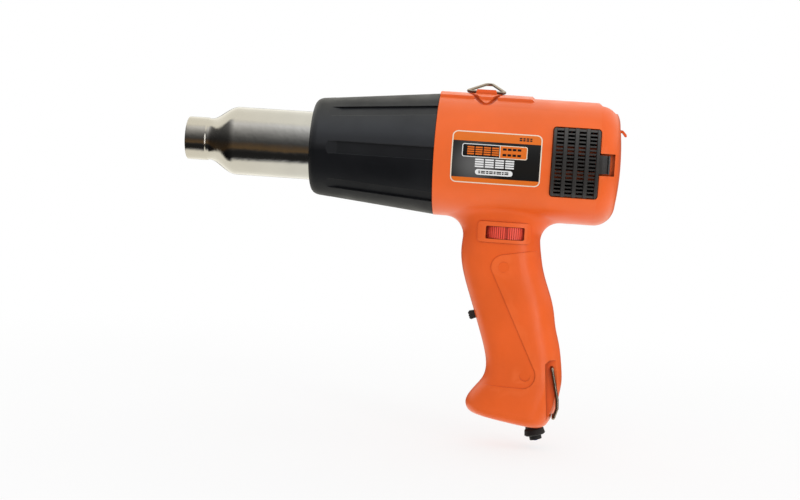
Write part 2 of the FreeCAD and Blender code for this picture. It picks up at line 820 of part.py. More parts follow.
def grip_panel_prism():
    """The raised rear panel and pommel: all behind an S-shaped line between the two marks."""
    upper, lower = MARKED_SITES
    upper_mark = Vector(upper[0], 0, upper[1])
    lower_mark = Vector(lower[0], 0, lower[1])
    top = Vector(189.9, 0, -55.6)
    upper_side = upper_mark + Vector(-7.2, 0, -1.4)
    upper_out = upper_mark + Vector(-6.4, 0, 3.2)
    lower_side = lower_mark + Vector(5.4, 0, 3.2)
    lower_out = lower_mark + Vector(4.9, 0, -3.9)
    lower_end = lower_mark + Vector(-2.6, 0, -7.4)
    corners = [Vector(178.0, 0, -131.6), Vector(160, 0, -129.6), Vector(160, 0, -175),
               Vector(245, 0, -175), Vector(245, 0, -51.0), Vector(205.8, 0, -52.6)]
    edges = [
        Part.Arc(top, upper_out, upper_side).toShape(),
        Part.makeLine(upper_side, lower_side),
        Part.Arc(lower_side, lower_out, lower_end).toShape(),
        Part.makeLine(lower_end, corners[0]),
    ]
    edges += [Part.makeLine(a, b) for a, b in zip(corners, corners[1:])]
    edges.append(Part.makeLine(corners[-1], top))
    prism = Part.Face(Part.Wire(edges)).extrude(Vector(0, 60, 0))
    prism.translate(Vector(0, -30, 0))
    return prism


def rounded_block(x, y, z, radius):
    """A block whose four edges along Y are rounded."""
    plain = block(x, y, z)
    upright = [e for e in plain.Edges if abs(e.BoundBox.YLength - (y[1] - y[0])) < 1e-6]
    return plain.makeFillet(radius, upright)


def grip_form(inset=0.0, widen=0.0):
    """The handle cut off at the heel, with a rounded rim."""
    grip = handle_solid(inset, widen).cut(below_heel(inset))
    rim = [e for e in grip.Edges if e.BoundBox.ZMax < -140]
    return grip.makeFillet(6.0, rim)


def outer_form():
    """The housing's outside, the same on both sides of the parting plane."""
    radius, front, rear = size("barrel_radius"), size("barrel_front"), size("barrel_rear")
    form = barrel_solid(radius, front, rear).fuse(grip_form())
    junction = [e for e in form.Edges if e.BoundBox.ZMin > -37.5 and e.BoundBox.ZMax < -25
                and 155 < e.BoundBox.XMin and e.BoundBox.XMax < 225]
    form = form.makeFillet(11.0, junction)
    panel = grip_form(0.15, 0.75).common(grip_panel_prism())
    pad_top, pad_end = size("pad_top"), size("pad_end")
    pad_profile = Part.makePolygon([
        Vector(front, 0, 30), Vector(front, 0, pad_top), Vector(pad_end - 2.5, 0, pad_top),
        Vector(pad_end, 0, radius - 0.8), Vector(pad_end, 0, 30), Vector(front, 0, 30)])
    top_pad = Part.Face(pad_profile).revolve(Vector(), Vector(1, 0, 0), 360)
    top_pad = top_pad.common(block((140, 210), (-12.5, 12.5), (25, 40)))
    pivot = size("ring_pivot_up")
    hanger_boss = extruded([(167.2, 34), (168.7, pivot + 1.4), (179.6, pivot + 1.4), (181.4, 34)],
                           3.2)
    hook = extruded([(rear - 2.0, 20.8), (rear + 0.2, 20.6), (rear + 2.4, 18.2),
                     (rear + 2.5, 16.9), (rear + 1.6, 16.8), (rear - 0.2, 19.0),
                     (rear - 1.6, 19.2)], 1.6)
    form = form.fuse([panel, top_pad, hanger_boss, hook])
    notch = extruded([(238.7, 36.6), (244.9, 29.7), (262, 29.7), (262, 40), (238.7, 40)], 12)
    return form.cut(notch)


def cavity_form():
    """The hollow inside, less the ledges, ribs and webs left standing in it."""
    wall = size("housing_wall")
    radius, rear = size("barrel_radius") - wall, size("barrel_rear") - wall
    hollow = barrel_solid(radius, 140, rear).fuse(handle_solid(wall).cut(below_heel(5.0)))
    ledge = vent_sector(size("vent_ledge_radius"), radius + 1, 211, 246, 22)
    latch_backing = vent_sector(LATCH_FLOOR - 1.6, radius + 1, 241.6, 252, 8.2)
    notch_backing = block((239, 256), (-14.5, 14.5), (27, 36))
    shroud_ring = size("tube_end") + 39
    front_rib = ring_block(30.4, radius + 1, shroud_ring - 2.4, shroud_ring - 0.1)
    rear_rib = ring_block(30.4, radius + 1, shroud_ring + 2.5, shroud_ring + 4.8)
    damper = size("motor_front") + 15
    webs = ring_block(21.05, radius + 1, damper - 2.5, damper + 2.5)
    cross = block((200, 220), (-40, 40), (-2, 2)).fuse(block((200, 220), (-2, 2), (0, 40)))
    webs = webs.common(cross)
    bail_backing = extruded([(217.8, -112.6), (245, -112.6), (245, -165), (220.4, -165),
                             (220.4, -150.5)], 30)
    boot_socket = lead_rod(9.0, -11.0, 4.0)
    return hollow.cut([ledge, latch_backing, notch_backing, front_rib, rear_rib, webs,
                       bail_backing, boot_socket])


def lead_point(distance):
    """A point on the mains lead's axis, distance mm outward from where it leaves the handle."""
    tilt = math.radians(size("lead_tilt_angle"))
    exit_point = Vector(size("lead_exit_along"), 0, size("lead_exit_up"))
    return exit_point + Vector(math.sin(tilt), 0, -math.cos(tilt)) * distance


def lead_rod(radius, start, end):
    return rod(radius, lead_point(start), lead_point(end))


def shelf(x, z, reach):
    """A ledge across the handle, on both walls, leaving |y| < reach free."""
    return block(x, (-30, -reach), z).fuse(block(x, (reach, 30), z))


def knob_placement():
    seat = Vector(size("knob_along"), 0, size("knob_up"))
    return Placement(seat, Rotation(Vector(0, 1, 0), -size("knob_lean_angle")))


def knob_frame(shape):
    """Moves a shape from the slide knob's own frame to its place on the handle."""
    shape.Placement = knob_placement()
    return shape


def vent_sector(inner, outer, start, end, half_height):
    """A curved plate on both flanks of the barrel with flat top and bottom edges."""
    plate = ring_block(inner, outer, start, end)
    return plate.common(block((start - 1, end + 1), (-50, 50), (-half_height, half_height)))


def vent_recess():
    """The seats of both inlet covers, sunk into the flanks, with rounded corners."""
    gap = 0.35
    start, end = size("vent_front") - gap, size("vent_rear") + gap
    half_height = size("vent_half_height") + gap
    window = rounded_block((start, end), (-50, 50), (-half_height, half_height),
                           size("cover_corner_radius"))
    return ring_block(size("vent_floor_radius"), 60, start - 1, end + 1).common(window)


def openings(side):
    """All that is cut from one half; side is -1 for the left half and 1 for the right."""
    # air inlet: recess for the cover, three windows and two peg holes
    front, rear = size("vent_front"), size("vent_rear")
    cuts = [vent_recess()]
    cuts.append(block((rear, 250.0), (-60, 60), (-6.2, 6.2)).cut(
        Part.makeCylinder(LATCH_FLOOR, 60, Vector(200, 0, 0), Vector(1, 0, 0))))
    for low, high in ((-18.0, -9.4), (-4.4, 4.4), (9.4, 18.0)):
        cuts.append(block((front + 2.2, rear - 2.2), (0, 60 * side) if side > 0 else (-60, 0),
                          (low, high)))
    for up in PEG_HEIGHTS:
        centre = Vector((front + rear) / 2, 0, up)
        cuts.append(rod(PEG_RADIUS + 0.1, centre, centre + Vector(0, 60 * side, 0)))
    # dial: running space inside, and the window in the left half only
    dial = Vector(size("dial_centre_along"), size("dial_centre_across"), size("dial_centre_up"))
    half_dial = size("dial_thickness") / 2 + 0.6
    cuts.append(rod(size("dial_radius") + 0.6, dial - Vector(0, 0, half_dial),
                    dial + Vector(0, 0, half_dial)).common(block((160, 220), (-16.4, 30),
                                                                 (-60, -30))))
    if side < 0:
        cuts.append(rounded_block((179.8, 202.0), (-30, -8), (-46.6, -39.2), 0.8))
    # slot for the slide knob
    travel = size("knob_travel")
    cuts.append(knob_frame(block((-12, 6), (-2.3, 2.3), (-3.1, travel + 3.1))))
    # mains lead boot
    cuts.append(lead_rod(BOOT_NECK + 0.1, -9.5, 20))
    cuts.append(lead_rod(BOOT_FLANGE + 0.1, -6.1, -3.4))
    cuts.append(lead_rod(size("boot_end_radius") + 0.15, 0.7, 20))
    cuts.append(lead_rod(size("lead_radius") + 0.5, -30, 1))
    # wire bail: side recess, room for its crossbar, and its pivot hole
    pivot = Vector(size("bail_pivot_along"), 0, size("bail_pivot_up"))
    recess = extruded([(219.4, -117.0), (221.6, -114.8), (245, -114.8), (245, -170),
                       (222.0, -170), (222.0, -147.5), (219.4, -119.0)], 30)
    cuts.append(recess.cut(block((200, 260), (-10, 10), (-180, -100))))
    cuts.append(block((224.9, 260), (-30, 30), (-170, -146.9)))
    cuts.append(rod(size("bail_wire_radius") + 0.06, pivot + Vector(0, 6 * side, 0),
                    pivot + Vector(0, 30 * side, 0)))
    # hanging ring: pivot holes in the boss and the groove it folds into
    up = size("ring_pivot_up")
    for start, end in ((160, 171.4), (176.3, 188)):
        cuts.append(rod(size("ring_wire_radius") + 0.06, Vector(start, 0, up),
                        Vector(end, 0, up)))
    if side < 0:
        for before_folded in (0, 5, 10, 15):
            swung = ring_wire(size("ring_wire_radius") + 0.5)
            swung.rotate(Vector(0, 0, up), Vector(1, 0, 0), RING_FOLDED - before_folded)
            cuts.append(swung)
    # snap groove for the front sleeve
    cuts.append(ring_block(20, size("spigot_lip_radius") + 0.15, size("spigot_lip_start") - 0.15,
                           size("spigot_lip_end") + 0.2))
    # the two faint round marks over screw posts
    if side < 0:
        for (along, height), floor in zip(MARKED_SITES, MARK_FLOORS):
            cuts.append(rod(MARK_RADIUS, Vector(along, floor, height), Vector(along, -30, height)))
    return cuts


def screw_posts(side):
    """Posts for the housing screws, reaching from the parting plane to the wall."""
    radius = size("boss_radius") + (1.2 if side > 0 else 0)
    return [rod(radius, Vector(x, 0, z), Vector(x, 40 * side, z)) for x, z in SCREW_SITES]


def clamp_sites():
    """Where the clamp screws cross the parting plane."""
    tilt = Rotation(Vector(0, 1, 0), -size("lead_tilt_angle"))
    exit_point = Vector(size("lead_exit_along"), 0, size("lead_exit_up"))
    return [exit_point + tilt.multVec(Vector(x, 0, CLAMP_ALONG)) for x in CLAMP_SCREWS]


def shell_half(side, outer, cavity):
    """One half of the hollow shell; the left half also carries the frame round the dial."""
    gap = size("parting_gap") / 2
    half = outer.common(block((100, 300), (gap, 60), (-200, 60)))
    if side < 0:
        frame = handle_solid(0.15, 1.05).common(
            rounded_block((175.0, 206.0), (-30, -5), (-48.6, -36.6), 2.0))
        half = half.mirror(Vector(), Vector(0, 1, 0)).fuse(frame)
    return half.cut(cavity)


def housing_half(side, outer, cavity):
    """One moulded half: its share of the shell, its posts and shelves, less its openings."""
    fits_inside = handle_solid(0.4).fuse(
        Part.makeCylinder(size("barrel_radius") - 0.4, 92, Vector(150, 0, 0), Vector(1, 0, 0)))
    extras = screw_posts(side)
    extras.append(shelf((178, 204), (-57.4, -55.5), 8.4))
    for low, high in ((-12.0, -9.2), (16.2, 19.0)):
        extras.append(knob_frame(shelf((7.5, 19.5), (low, high), 4.6)))
    cuts = openings(side)
    if side < 0:
        pilot = size("screw_radius") + 0.03
        for site in clamp_sites():
            extras.append(rod(size("boss_radius"), site, site - Vector(0, 40, 0)))
            cuts.append(rod(pilot, site + Vector(0, 1, 0), site - Vector(0, 8, 0)))
        for x, z in SCREW_SITES:
            cuts.append(rod(pilot, Vector(x, 1, z), Vector(x, -11, z)))
    else:
        for x, z in SCREW_SITES:
            seat = Vector(x, SCREW_SEAT, z)
            cuts.append(rod(size("screw_radius") + 0.2, Vector(x, -1, z), seat))
            cuts.append(rod(size("screw_head_radius") + 0.3, seat, Vector(x, 40, z)))
    gap = size("parting_gap") / 2
    own_side = block((100, 300), (-60, -gap) if side < 0 else (gap, 60), (-200, 60))
    inner = Part.makeCompound(extras).common(fits_inside).common(own_side)
    return shell_half(side, outer, cavity).fuse(inner.Solids).cut(cuts)


# ---------------------------------------------------------------- wire hangers

# How far the hanging ring swings from rest to lie in its groove, in degrees.
RING_FOLDED = 186.5


def ring_wire(radius):
    """The hanging ring at rest: a rounded triangle with both ends bent inward."""
    up = size("ring_pivot_up")
    front, rear, reach = size("ring_front"), size("ring_rear"), size("ring_reach")
    apex = (front + rear) / 2 + 1.0
    points = [
        Vector(front + 8.5, 0, up), Vector(front, 0, up), Vector(apex - 2.0, reach, up),
        Vector(apex + 2.0, reach, up), Vector(rear, 0, up), Vector(rear - 8.5, 0, up)]
    shape = rod_along(rounded_path(points, (1.6, 3.0, 3.0, 1.6)), radius)
    shape.rotate(Vector(0, 0, up), Vector(1, 0, 0), size("ring_lean_angle"))
    return shape


def bail_wire(radius):
    """The folding bail at the heel: two cranked legs and a crossbar."""
    along, up, half = (size("bail_pivot_along"), size("bail_pivot_up"),
                       size("bail_half_span"))
    leg = [Vector(along, 0, up), Vector(227.6, 0, -137.6), Vector(227.9, 0, -142.8),
           Vector(226.2, 0, -148.8)]
    left = [point + Vector(0, -half, 0) for point in leg]
    right = [point + Vector(0, half, 0) for point in reversed(leg)]
    ends = (Vector(along, -half + 4.6, up), Vector(along, half - 4.6, up))
    points = [ends[0]] + left + right + [ends[1]]
    return rod_along(rounded_path(points, [1.7] * (len(points) - 2)), radius)


# ---------------------------------------------------------------- inlet covers and label

LATCH_FLOOR = 29.0
PEG_HEIGHTS = (-6.9, 6.9)
PEG_RADIUS = 1.1


def vent_cover(label, side):
    """Slotted inlet cover with raised bars, a latch tab and two pegs."""
    body = new_body(label)
    ribs = []
    left, right = size("vent_front"), size("vent_rear")
    bars = 5
    pitch = size("slot_column_pitch")
    bar_width = pitch - size("slot_width")
    middle = (left + right) / 2
    face, ridge = size("cover_outer_radius"), size("cover_ridge_radius")
    for number in range(bars):
        centre = middle + (number - (bars - 1) / 2) * pitch
        low = max(centre - bar_width / 2, left)
        high = min(centre + bar_width / 2, right)
        ribs += [(low, face), (low + 0.3, ridge), (high - 0.3, ridge), (high, face)]
    corners = [(f"{left}", "cover_inner_radius"), (f"{left}", "cover_outer_radius")]
    corners += [(f"{x}", f"{r}") for x, r in ribs if left < x < right]
    corners += [(f"{right}", "cover_outer_radius"), (f"{right}", "cover_inner_radius")]
    sketch = new_sketch(body, "XY_Plane")
    outline(sketch, [(x, f"{side} * ( {r} )") for x, r in corners])
    spread = 2 * math.degrees(math.asin(size("vent_half_height / cover_ridge_radius")))
    feature(body, "Revolution", sketch, ReferenceAxis=(sketch, ["H_Axis"]), Angle=spread,
            Midplane=True)
    latch = new_sketch(body, "XY_Plane")
    outline(latch, [(x, f"{side} * ( {r} )") for x, r in [
        ("vent_rear - 1", "34"), ("vent_rear - 1", "cover_outer_radius"),
        ("vent_rear + 1.6", "cover_outer_radius - 0.1"),
        ("vent_rear + 4.6", "cover_outer_radius - 0.6"),
        ("vent_rear + 5.0", "cover_outer_radius + 0.4"),
        ("vent_rear + 5.9", "cover_outer_radius + 0.2"),
        ("vent_rear + 5.9", "31.4"), ("vent_rear + 3", "31.4"), ("vent_rear + 1", "33.8")]])
    feature(body, "Revolution", latch, ReferenceAxis=(latch, ["H_Axis"]), Angle=16.5,
            Midplane=True)
    slots = []
    top = size("vent_half_height")
    radius = size("cover_corner_radius")

    def corner_cuts():
        sketch = new_sketch(body)
        for across, edge in ((-1, left), (1, right)):
            for up in (-1, 1):
                waste = [(edge + across, up * (top + 1)), (edge - across * radius, up * (top + 1))]
                for step in range(4):
                    turn = math.radians(30 * step)
                    waste.append((edge - across * radius * (1 - math.sin(turn)),
                                  up * (top - radius * (1 - math.cos(turn)))))
                waste.append((edge + across, up * (top - radius)))
                outline(sketch, [(f"{x}", f"{z}") for x, z in waste])
        return feature(body, "Pocket", sketch, Length=200.0, Midplane=True)

    must_cut(body, "rounded corners", corner_cuts)

    def first_row():
        sketch = new_sketch(body)
        slots.append(sketch)
        for number in range(int(size("slot_columns"))):
            shift = f"( {number} - ( slot_columns - 1 ) / 2 ) * slot_column_pitch"
            centre = f"( vent_front + vent_rear ) / 2 + {shift}"
            low = "-( slot_rows - 1 ) / 2 * slot_row_pitch - slot_height / 2"
            rectangle(sketch, f"{centre} - slot_width / 2", low, f"{centre} + slot_width / 2",
                      f"{low} + slot_height")
        return feature(body, "Pocket", sketch, Length=200.0, Midplane=True)

    row = must_cut(body, "row of slots", first_row)
    pattern = body.newObject("PartDesign::LinearPattern", label + "_rows")
    pattern.Originals = [row]
    pattern.Direction = (slots[0], ["V_Axis"])
    pattern.setExpression("Length", sheet("( slot_rows - 1 ) * slot_row_pitch"))
    pattern.setExpression("Occurrences", sheet("slot_rows"))
    body.Tip = pattern
    start = "31.2" if side < 0 else "-33.9"
    for up in PEG_HEIGHTS:
        pad(body, "XZ_Plane", start, "2.7",
            lambda s: circle(s, f"{PEG_RADIUS}", "( vent_front + vent_rear ) / 2", f"{up}"))


def rating_label():
    """Curved self-adhesive label with rounded corners on the left flank."""
    body = new_body("rating_label")
    sketch = new_sketch(body, "XY_Plane")
    inner, outer = "-( barrel_radius + 0.02 )", "-( barrel_radius + 0.3 )"
    rectangle(sketch, "label_front", outer, "label_rear", inner)
    sheet_form = feature(body, "Revolution", sketch, ReferenceAxis=(sketch, ["H_Axis"]),
                         Angle="label_spread_angle", Midplane=True)
    doc.recompute()
    corners = [f"Edge{number}" for number, edge in enumerate(sheet_form.Shape.Edges, start=1)
               if edge.Length < 1.0]
    fillet = body.newObject("PartDesign::Fillet", "label_corners")
    fillet.Base = (sheet_form, corners)
    fillet.setExpression("Radius", sheet("label_corner_radius"))
    place(body, axis=(1, 0, 0), angle="label_roll_angle")


# ---------------------------------------------------------------- dial, board and switch

def dial_parts():
    """Temperature dial on the shaft of its potentiometer, and the control board below."""
    centre = {"x": "dial_centre_along", "y": "dial_centre_across", "z": "dial_centre_up"}
    wheel = new_body("thumbwheel")
    pad(wheel, "XY_Plane", "-dial_thickness / 2", "dial_thickness",
        lambda s: circle(s, "dial_radius"))
    rib = pocket(wheel, "XY_Plane", "-dial_thickness / 2 - 1", "dial_thickness + 2",
                 lambda s: outline(s, [("-0.34", "dial_radius + 0.4"), ("0", "dial_radius - 0.7"),
                                       ("0.34", "dial_radius + 0.4")]), "rib")
    around(wheel, rib, "dial_rib_count", "Z_Axis")
    pocket(wheel, "XY_Plane", "-dial_thickness / 2 - 1", "dial_thickness + 2",
           lambda s: rectangle(s, "0.4", "-dial_radius - 1", "1.7", "-dial_radius + 1.2"),
           "index notch")
    pocket(wheel, "XY_Plane", "-dial_thickness / 2 - 1", "dial_thickness + 2",
           lambda s: circle(s, "dial_bore_radius"), "bore")
    place(wheel, **centre)
    shaft = new_body("potentiometer_shaft")
    pad(shaft, "XY_Plane", "-8", "11.5", lambda s: circle(s, "dial_bore_radius"))
    pocket(shaft, "XY_Plane", "1.5", "4",
           lambda s: rectangle(s, "-0.4", "-4", "0.4", "4"), "slot")
    place(shaft, **centre)
    case = new_body("potentiometer")
    pad(case, "XY_Plane", "-10.5", "5.2", lambda s: circle(s, "8"))
    pad(case, "XY_Plane", "-5.4", "1.2", lambda s: circle(s, "4.4"))
    pocket(case, "XY_Plane", "-8.05", "6", lambda s: circle(s, "dial_bore_radius + 0.05"), "bore")
    place(case, **centre)
    board = new_body("control_board")
    low = "dial_centre_up - 12.1"
    pad(board, "XY_Plane", low, "1.6",
        lambda s: rectangle(s, "172.5", "-9.6", "206", "9.6"))
    cutoff = new_body("triac")
    pad(cutoff, "XY_Plane", "dial_centre_up - 9.6", "9.5",
        lambda s: rectangle(s, "170.0", "-5", "173.1", "5"))
    for across in (-2.5, 0.0, 2.5):
        pad(cutoff, "XY_Plane", "dial_centre_up - 10.5", "1",
            lambda s: rectangle(s, "172.55", f"{across - 0.4}", "173.05", f"{across + 0.4}"))
    sink = new_body("heatsink")
    pad(sink, "XZ_Plane", "-8", "16",
        lambda s: rectangle(s, "173.2", "dial_centre_up - 10.5", "174.4", "dial_centre_up + 9.4"))
    capacitor = new_body("capacitor")
    pad(capacitor, "XY_Plane", "dial_centre_up - 10.5", "5",
        lambda s: rectangle(s, "200.2", "-4", "204.8", "9"))


def slide_switch():
    """Slide switch behind the front of the handle, with its knob on the outside."""
    lean = {"x": "knob_along", "z": "knob_up", "axis": (0, 1, 0), "angle": "-knob_lean_angle"}
    knob = new_body("switch_knob")
    pad(knob, "XZ_Plane", "-2", "4",
        lambda s: outline(s, [("-3.6", "-1.8"), ("-3.6", "1.5"), ("-2.8", "2.4"), ("0.4", "2.1"),
                              ("3.2", "2.1"), ("3.2", "-2.4"), ("0.4", "-2.4"),
                              ("-2.8", "-2.7")]))
    pad(knob, "XZ_Plane", "-4.6", "9.2", lambda s: rectangle(s, "3.2", "-5", "4.4", "5"))
    pad(knob, "XZ_Plane", "-1.1", "2.2", lambda s: rectangle(s, "4.4", "-1.3", "10", "1.3"))
    for up in ("-1.5", "0.1"):
        pocket(knob, "XZ_Plane", "-3", "6",
               lambda s: rectangle(s, "-5", up, "-3.3", f"{up} + 0.6"), "thumb groove")
    place(knob, **lean)
    case = new_body("switch_body")
    pad(case, "XZ_Plane", "-6", "12",
        lambda s: rectangle(s, "6.4", "-9", "18", "knob_travel + 9"))
    pocket(case, "XZ_Plane", "-1.3", "2.6",
           lambda s: rectangle(s, "5", "-1.6", "11", "knob_travel + 1.6"), "lever slot")
    for up in ("-5", "2.7", "knob_travel + 3.4"):
        pad(case, "XZ_Plane", "-2", "4", lambda s: rectangle(s, "18", up, "22", f"{up} + 0.8"))
    place(case, **lean)


# ---------------------------------------------------------------- mains lead

BOOT_NECK = 4.8
BOOT_FLANGE = 6.6
# Clamp screws: distances across the lead, at one distance along it.
CLAMP_SCREWS = (-7.4, 5.7)
CLAMP_ALONG = 16.5
CLAMP_SEAT = 5.6


def mains_lead_parts():
    """Lead, its cores, the moulded boot and the clamp that holds it."""
    tilt = {"x": "lead_exit_along", "z": "lead_exit_up", "axis": (0, 1, 0),
            "angle": "-lead_tilt_angle"}
    boot = new_body("cord_boot")
    sketch = new_sketch(boot)
    outline(sketch, [
        ("lead_radius + 0.03", "8.6"), (f"{BOOT_NECK}", "8.6"), (f"{BOOT_NECK}", "6"),
        (f"{BOOT_FLANGE}", "6"), (f"{BOOT_FLANGE}", "3.5"), (f"{BOOT_NECK}", "3.5"),
        (f"{BOOT_NECK}", "-0.8"), ("boot_radius", "-2.0"),
        ("boot_end_radius", "-boot_length + 0.6"), ("boot_end_radius - 0.7", "-boot_length"),
        ("lead_radius + 0.03", "-boot_length")])
    feature(boot, "Revolution", sketch, ReferenceAxis=(sketch, ["V_Axis"]), Angle=360.0)
    place(boot, **tilt)
    lead = new_body("mains_lead")
    pad(lead, "XY_Plane", "-lead_stub_length", "lead_stub_length + lead_inner_length",
        lambda s: circle(s, "lead_radius"))
    for across in ("-1.4", "1.4"):
        pocket(lead, "XY_Plane", "-lead_stub_length - 1", "lead_stub_length + lead_inner_length + 2",
               lambda s: circle(s, "1.2", "0", across), "core channel")
    place(lead, **tilt)
    cores = []
    for across in (-1.4, 1.4):
        out = lead_point(size("lead_stub_length") + 0.4)
        turn = lead_point(-size("lead_inner_length") - 3.0)
        offset = Vector(0, across, 0)
        path = rounded_path([out + offset, turn + offset, Vector(200, 3 * across, -127),
                             Vector(202, 3 * across, -112.6)], (2.0, 2.0))
        cores.append(rod_along(path, 1.15))
    shaped("lead_cores", Part.makeCompound(cores))
    clamp = new_body("cord_clamp")
    pad(clamp, "XY_Plane", "13.5", "6", lambda s: rectangle(s, "-10.6", "0.2", "8.0", "5.6"))
    pocket(clamp, "XY_Plane", "13", "7", lambda s: circle(s, "lead_radius + 0.02"), "saddle")
    for x in CLAMP_SCREWS:
        pocket(clamp, "XZ_Plane", "-8", "10", lambda s: circle(s, "1.6", f"{x}", f"{CLAMP_ALONG}"),
               "screw hole")
    place(clamp, **tilt)


def terminal_block():
    """Two-way screw terminal joining the lead to the internal wiring."""
    block_body = new_body("terminal_block")
    pad(block_body, "XY_Plane", "-112.5", "8", lambda s: rectangle(s, "197", "-7.5", "207", "7.5"))
    for across in ("-4.2", "4.2"):
        pocket(block_body, "XY_Plane", "-114", "11", lambda s: circle(s, "1.5", "202", across),
               "wire way")
        pocket(block_body, "YZ_Plane", "196", "4.4", lambda s: circle(s, "1.6", across, "-108.5"),
               "screw way")
    screws = [part_cylinder(f"terminal_screw_{i}", "1.5", "3", x="197.2", y=across, z="-108.5",
                            along="x") for i, across in enumerate(("-4.2", "4.2"))]
    group("terminal_screws", *screws)


def wiring():
    """Insulated wires from the terminals to the switch, and from the board to the motor."""
    lug = knob_placement().multVec(Vector(23.0, 0, 3.1))
    motor_rear = size("motor_front + motor_length")
    live = [Vector(202, -4.2, -104), Vector(203, -4.2, -98), Vector(203, -2, -84), lug]
    motor_feed = [
        Vector(205.9, 5, -53.0), Vector(205.9, 5, -34), Vector(212, 8, -23.5),
        Vector(motor_rear + 4.4, 8, -20.5), Vector(motor_rear + 6.4, 3, -11.0)]
    wires = [rod_along(rounded_path(path, [1.6] * (len(path) - 2)), 0.8)
             for path in (live, motor_feed)]
    shaped("internal_wires", Part.makeCompound(wires))


# ---------------------------------------------------------------- fasteners

def screw_master(name, shank_radius, head_radius, length, head):
    """A pan-head screw pointing along -Z with its head's seat at the origin."""
    body = doc.addObject("PartDesign::Body", name)
    sketch = new_sketch(body)
    outline(sketch, [
        ("0", f"{head}", [(head_radius * 0.6, head), (head_radius, head * 0.7)]),
        (f"{head_radius}", "0"), (f"{shank_radius}", "0"), (f"{shank_radius}", f"{1.6 - length}"),
        ("0", f"{-length}")])
    feature(body, "Revolution", sketch, ReferenceAxis=(sketch, ["V_Axis"]), Angle=360.0)
    for half_x, half_y in ((1.5, 0.35), (0.35, 1.5)):
        pocket(body, "XY_Plane", f"{head - 1.1}", "2",
               lambda s: rectangle(s, f"{-half_x}", f"{-half_y}", f"{half_x}", f"{half_y}"),
               "cross recess")
    doc.recompute()
    return body


def fasteners():
    """Every screw of the assembly, grouped by the pieces it holds."""
    long_screw = screw_master("long_screw", size("screw_radius"), size("screw_head_radius"),
                              SCREW_LENGTH, 2.0)
    short_screw = screw_master("short_screw", size("screw_radius"), 2.6, 6.5, 1.8)
    motor_screw = screw_master("motor_screw", 1.2, 2.2, 4.2, 1.5)
    clamp_screw = screw_master("clamp_screw", size("screw_radius"), 2.6, 12.0, 1.8)
    face_right = Rotation(Vector(1, 0, 0), -90)
    repeated("housing_screws", long_screw,
             [Placement(Vector(x, SCREW_SEAT, z), face_right) for x, z in SCREW_SITES])
    face_front = Rotation(Vector(0, 1, 0), -90)
    seat = size("tube_end - flange_thickness")
    circle_radius = size("flange_hole_circle")
    places = []
    for number in range(3):
        turn = Rotation(Vector(1, 0, 0), 120 * number)
        position = turn.multVec(Vector(seat, 0, circle_radius))
        places.append(Placement(position, turn.multiply(face_front)))
    repeated("tube_flange_screws", short_screw, places)
    repeated("motor_screws", motor_screw,
             [Placement(Vector(size("seat_front"), 0, z), face_front) for z in (-11.0, 11.0)])
    tilt = Rotation(Vector(0, 1, 0), -size("lead_tilt_angle"))
    exit_point = Vector(size("lead_exit_along"), 0, size("lead_exit_up"))
    places = []
    for x in CLAMP_SCREWS:
        position = exit_point + tilt.multVec(Vector(x, CLAMP_SEAT, CLAMP_ALONG))
        places.append(Placement(position, tilt.multiply(face_right)))
    repeated("cord_clamp_screws", clamp_screw, places)


# ---------------------------------------------------------------- assembly

def build():
    nozzle_tube()
    mica_liner()
    half_way = "( mica_front + mica_rear ) / 2"
    mica_plate("mica_plate_upright", "XZ_Plane", "mica_front", half_way)
    mica_plate("mica_plate_flat", "XY_Plane", half_way, "mica_rear + 1")
    heating_coil()
    heater_base()
    thermal_fuse()
    front_sleeve()
    fan_shroud()
    fan_impeller()
    motor()
    rectifier()
    vent_cover("vent_cover_left", -1)
    vent_cover("vent_cover_right", 1)
    rating_label()
    dial_parts()
    slide_switch()
    mains_lead_parts()
    terminal_block()
    wiring()
    fasteners()
    shaped("hanging_ring", ring_wire(size("ring_wire_radius")))
    shaped("handle_bail", bail_wire(size("bail_wire_radius")))
    outer, cavity = outer_form(), cavity_form()
    shaped("housing_left", housing_half(-1, outer, cavity))
    shaped("housing_right", housing_half(1, outer, cavity))
    doc.recompute()


def check():
    """Stops before anything is written if any object failed."""
    for obj in doc.Objects:
        if {"Invalid", "Error"} & set(obj.State):
            raise RuntimeError(f"{obj.Name}: {obj.State}")
    for part in SUB_PARTS:
        if part.Shape.isNull() or not part.Shape.isValid():
            raise RuntimeError(f"{part.Label}: shape is null or not valid")


build()
check()
os.makedirs("parts", exist_ok=True)
for part in SUB_PARTS:
    part.Shape.exportStep(f"parts/{part.Label}.step")
    box = part.Shape.BoundBox
    print(f"{part.Label:22} {len(part.Shape.Solids)} solids {part.Shape.Volume:10.1f} mm3 "
          f"x {box.XMin:.1f} {box.XMax:.1f} y {box.YMin:.1f} {box.YMax:.1f} "
          f"z {box.ZMin:.1f} {box.ZMax:.1f}")
print(len(SUB_PARTS), "sub-parts")
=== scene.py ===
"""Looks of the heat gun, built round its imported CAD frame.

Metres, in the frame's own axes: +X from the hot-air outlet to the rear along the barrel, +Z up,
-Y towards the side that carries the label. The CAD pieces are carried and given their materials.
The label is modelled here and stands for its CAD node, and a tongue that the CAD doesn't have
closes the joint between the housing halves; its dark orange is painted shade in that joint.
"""
import bpy
import bmesh
import json
import math
from mathutils import Matrix, Vector


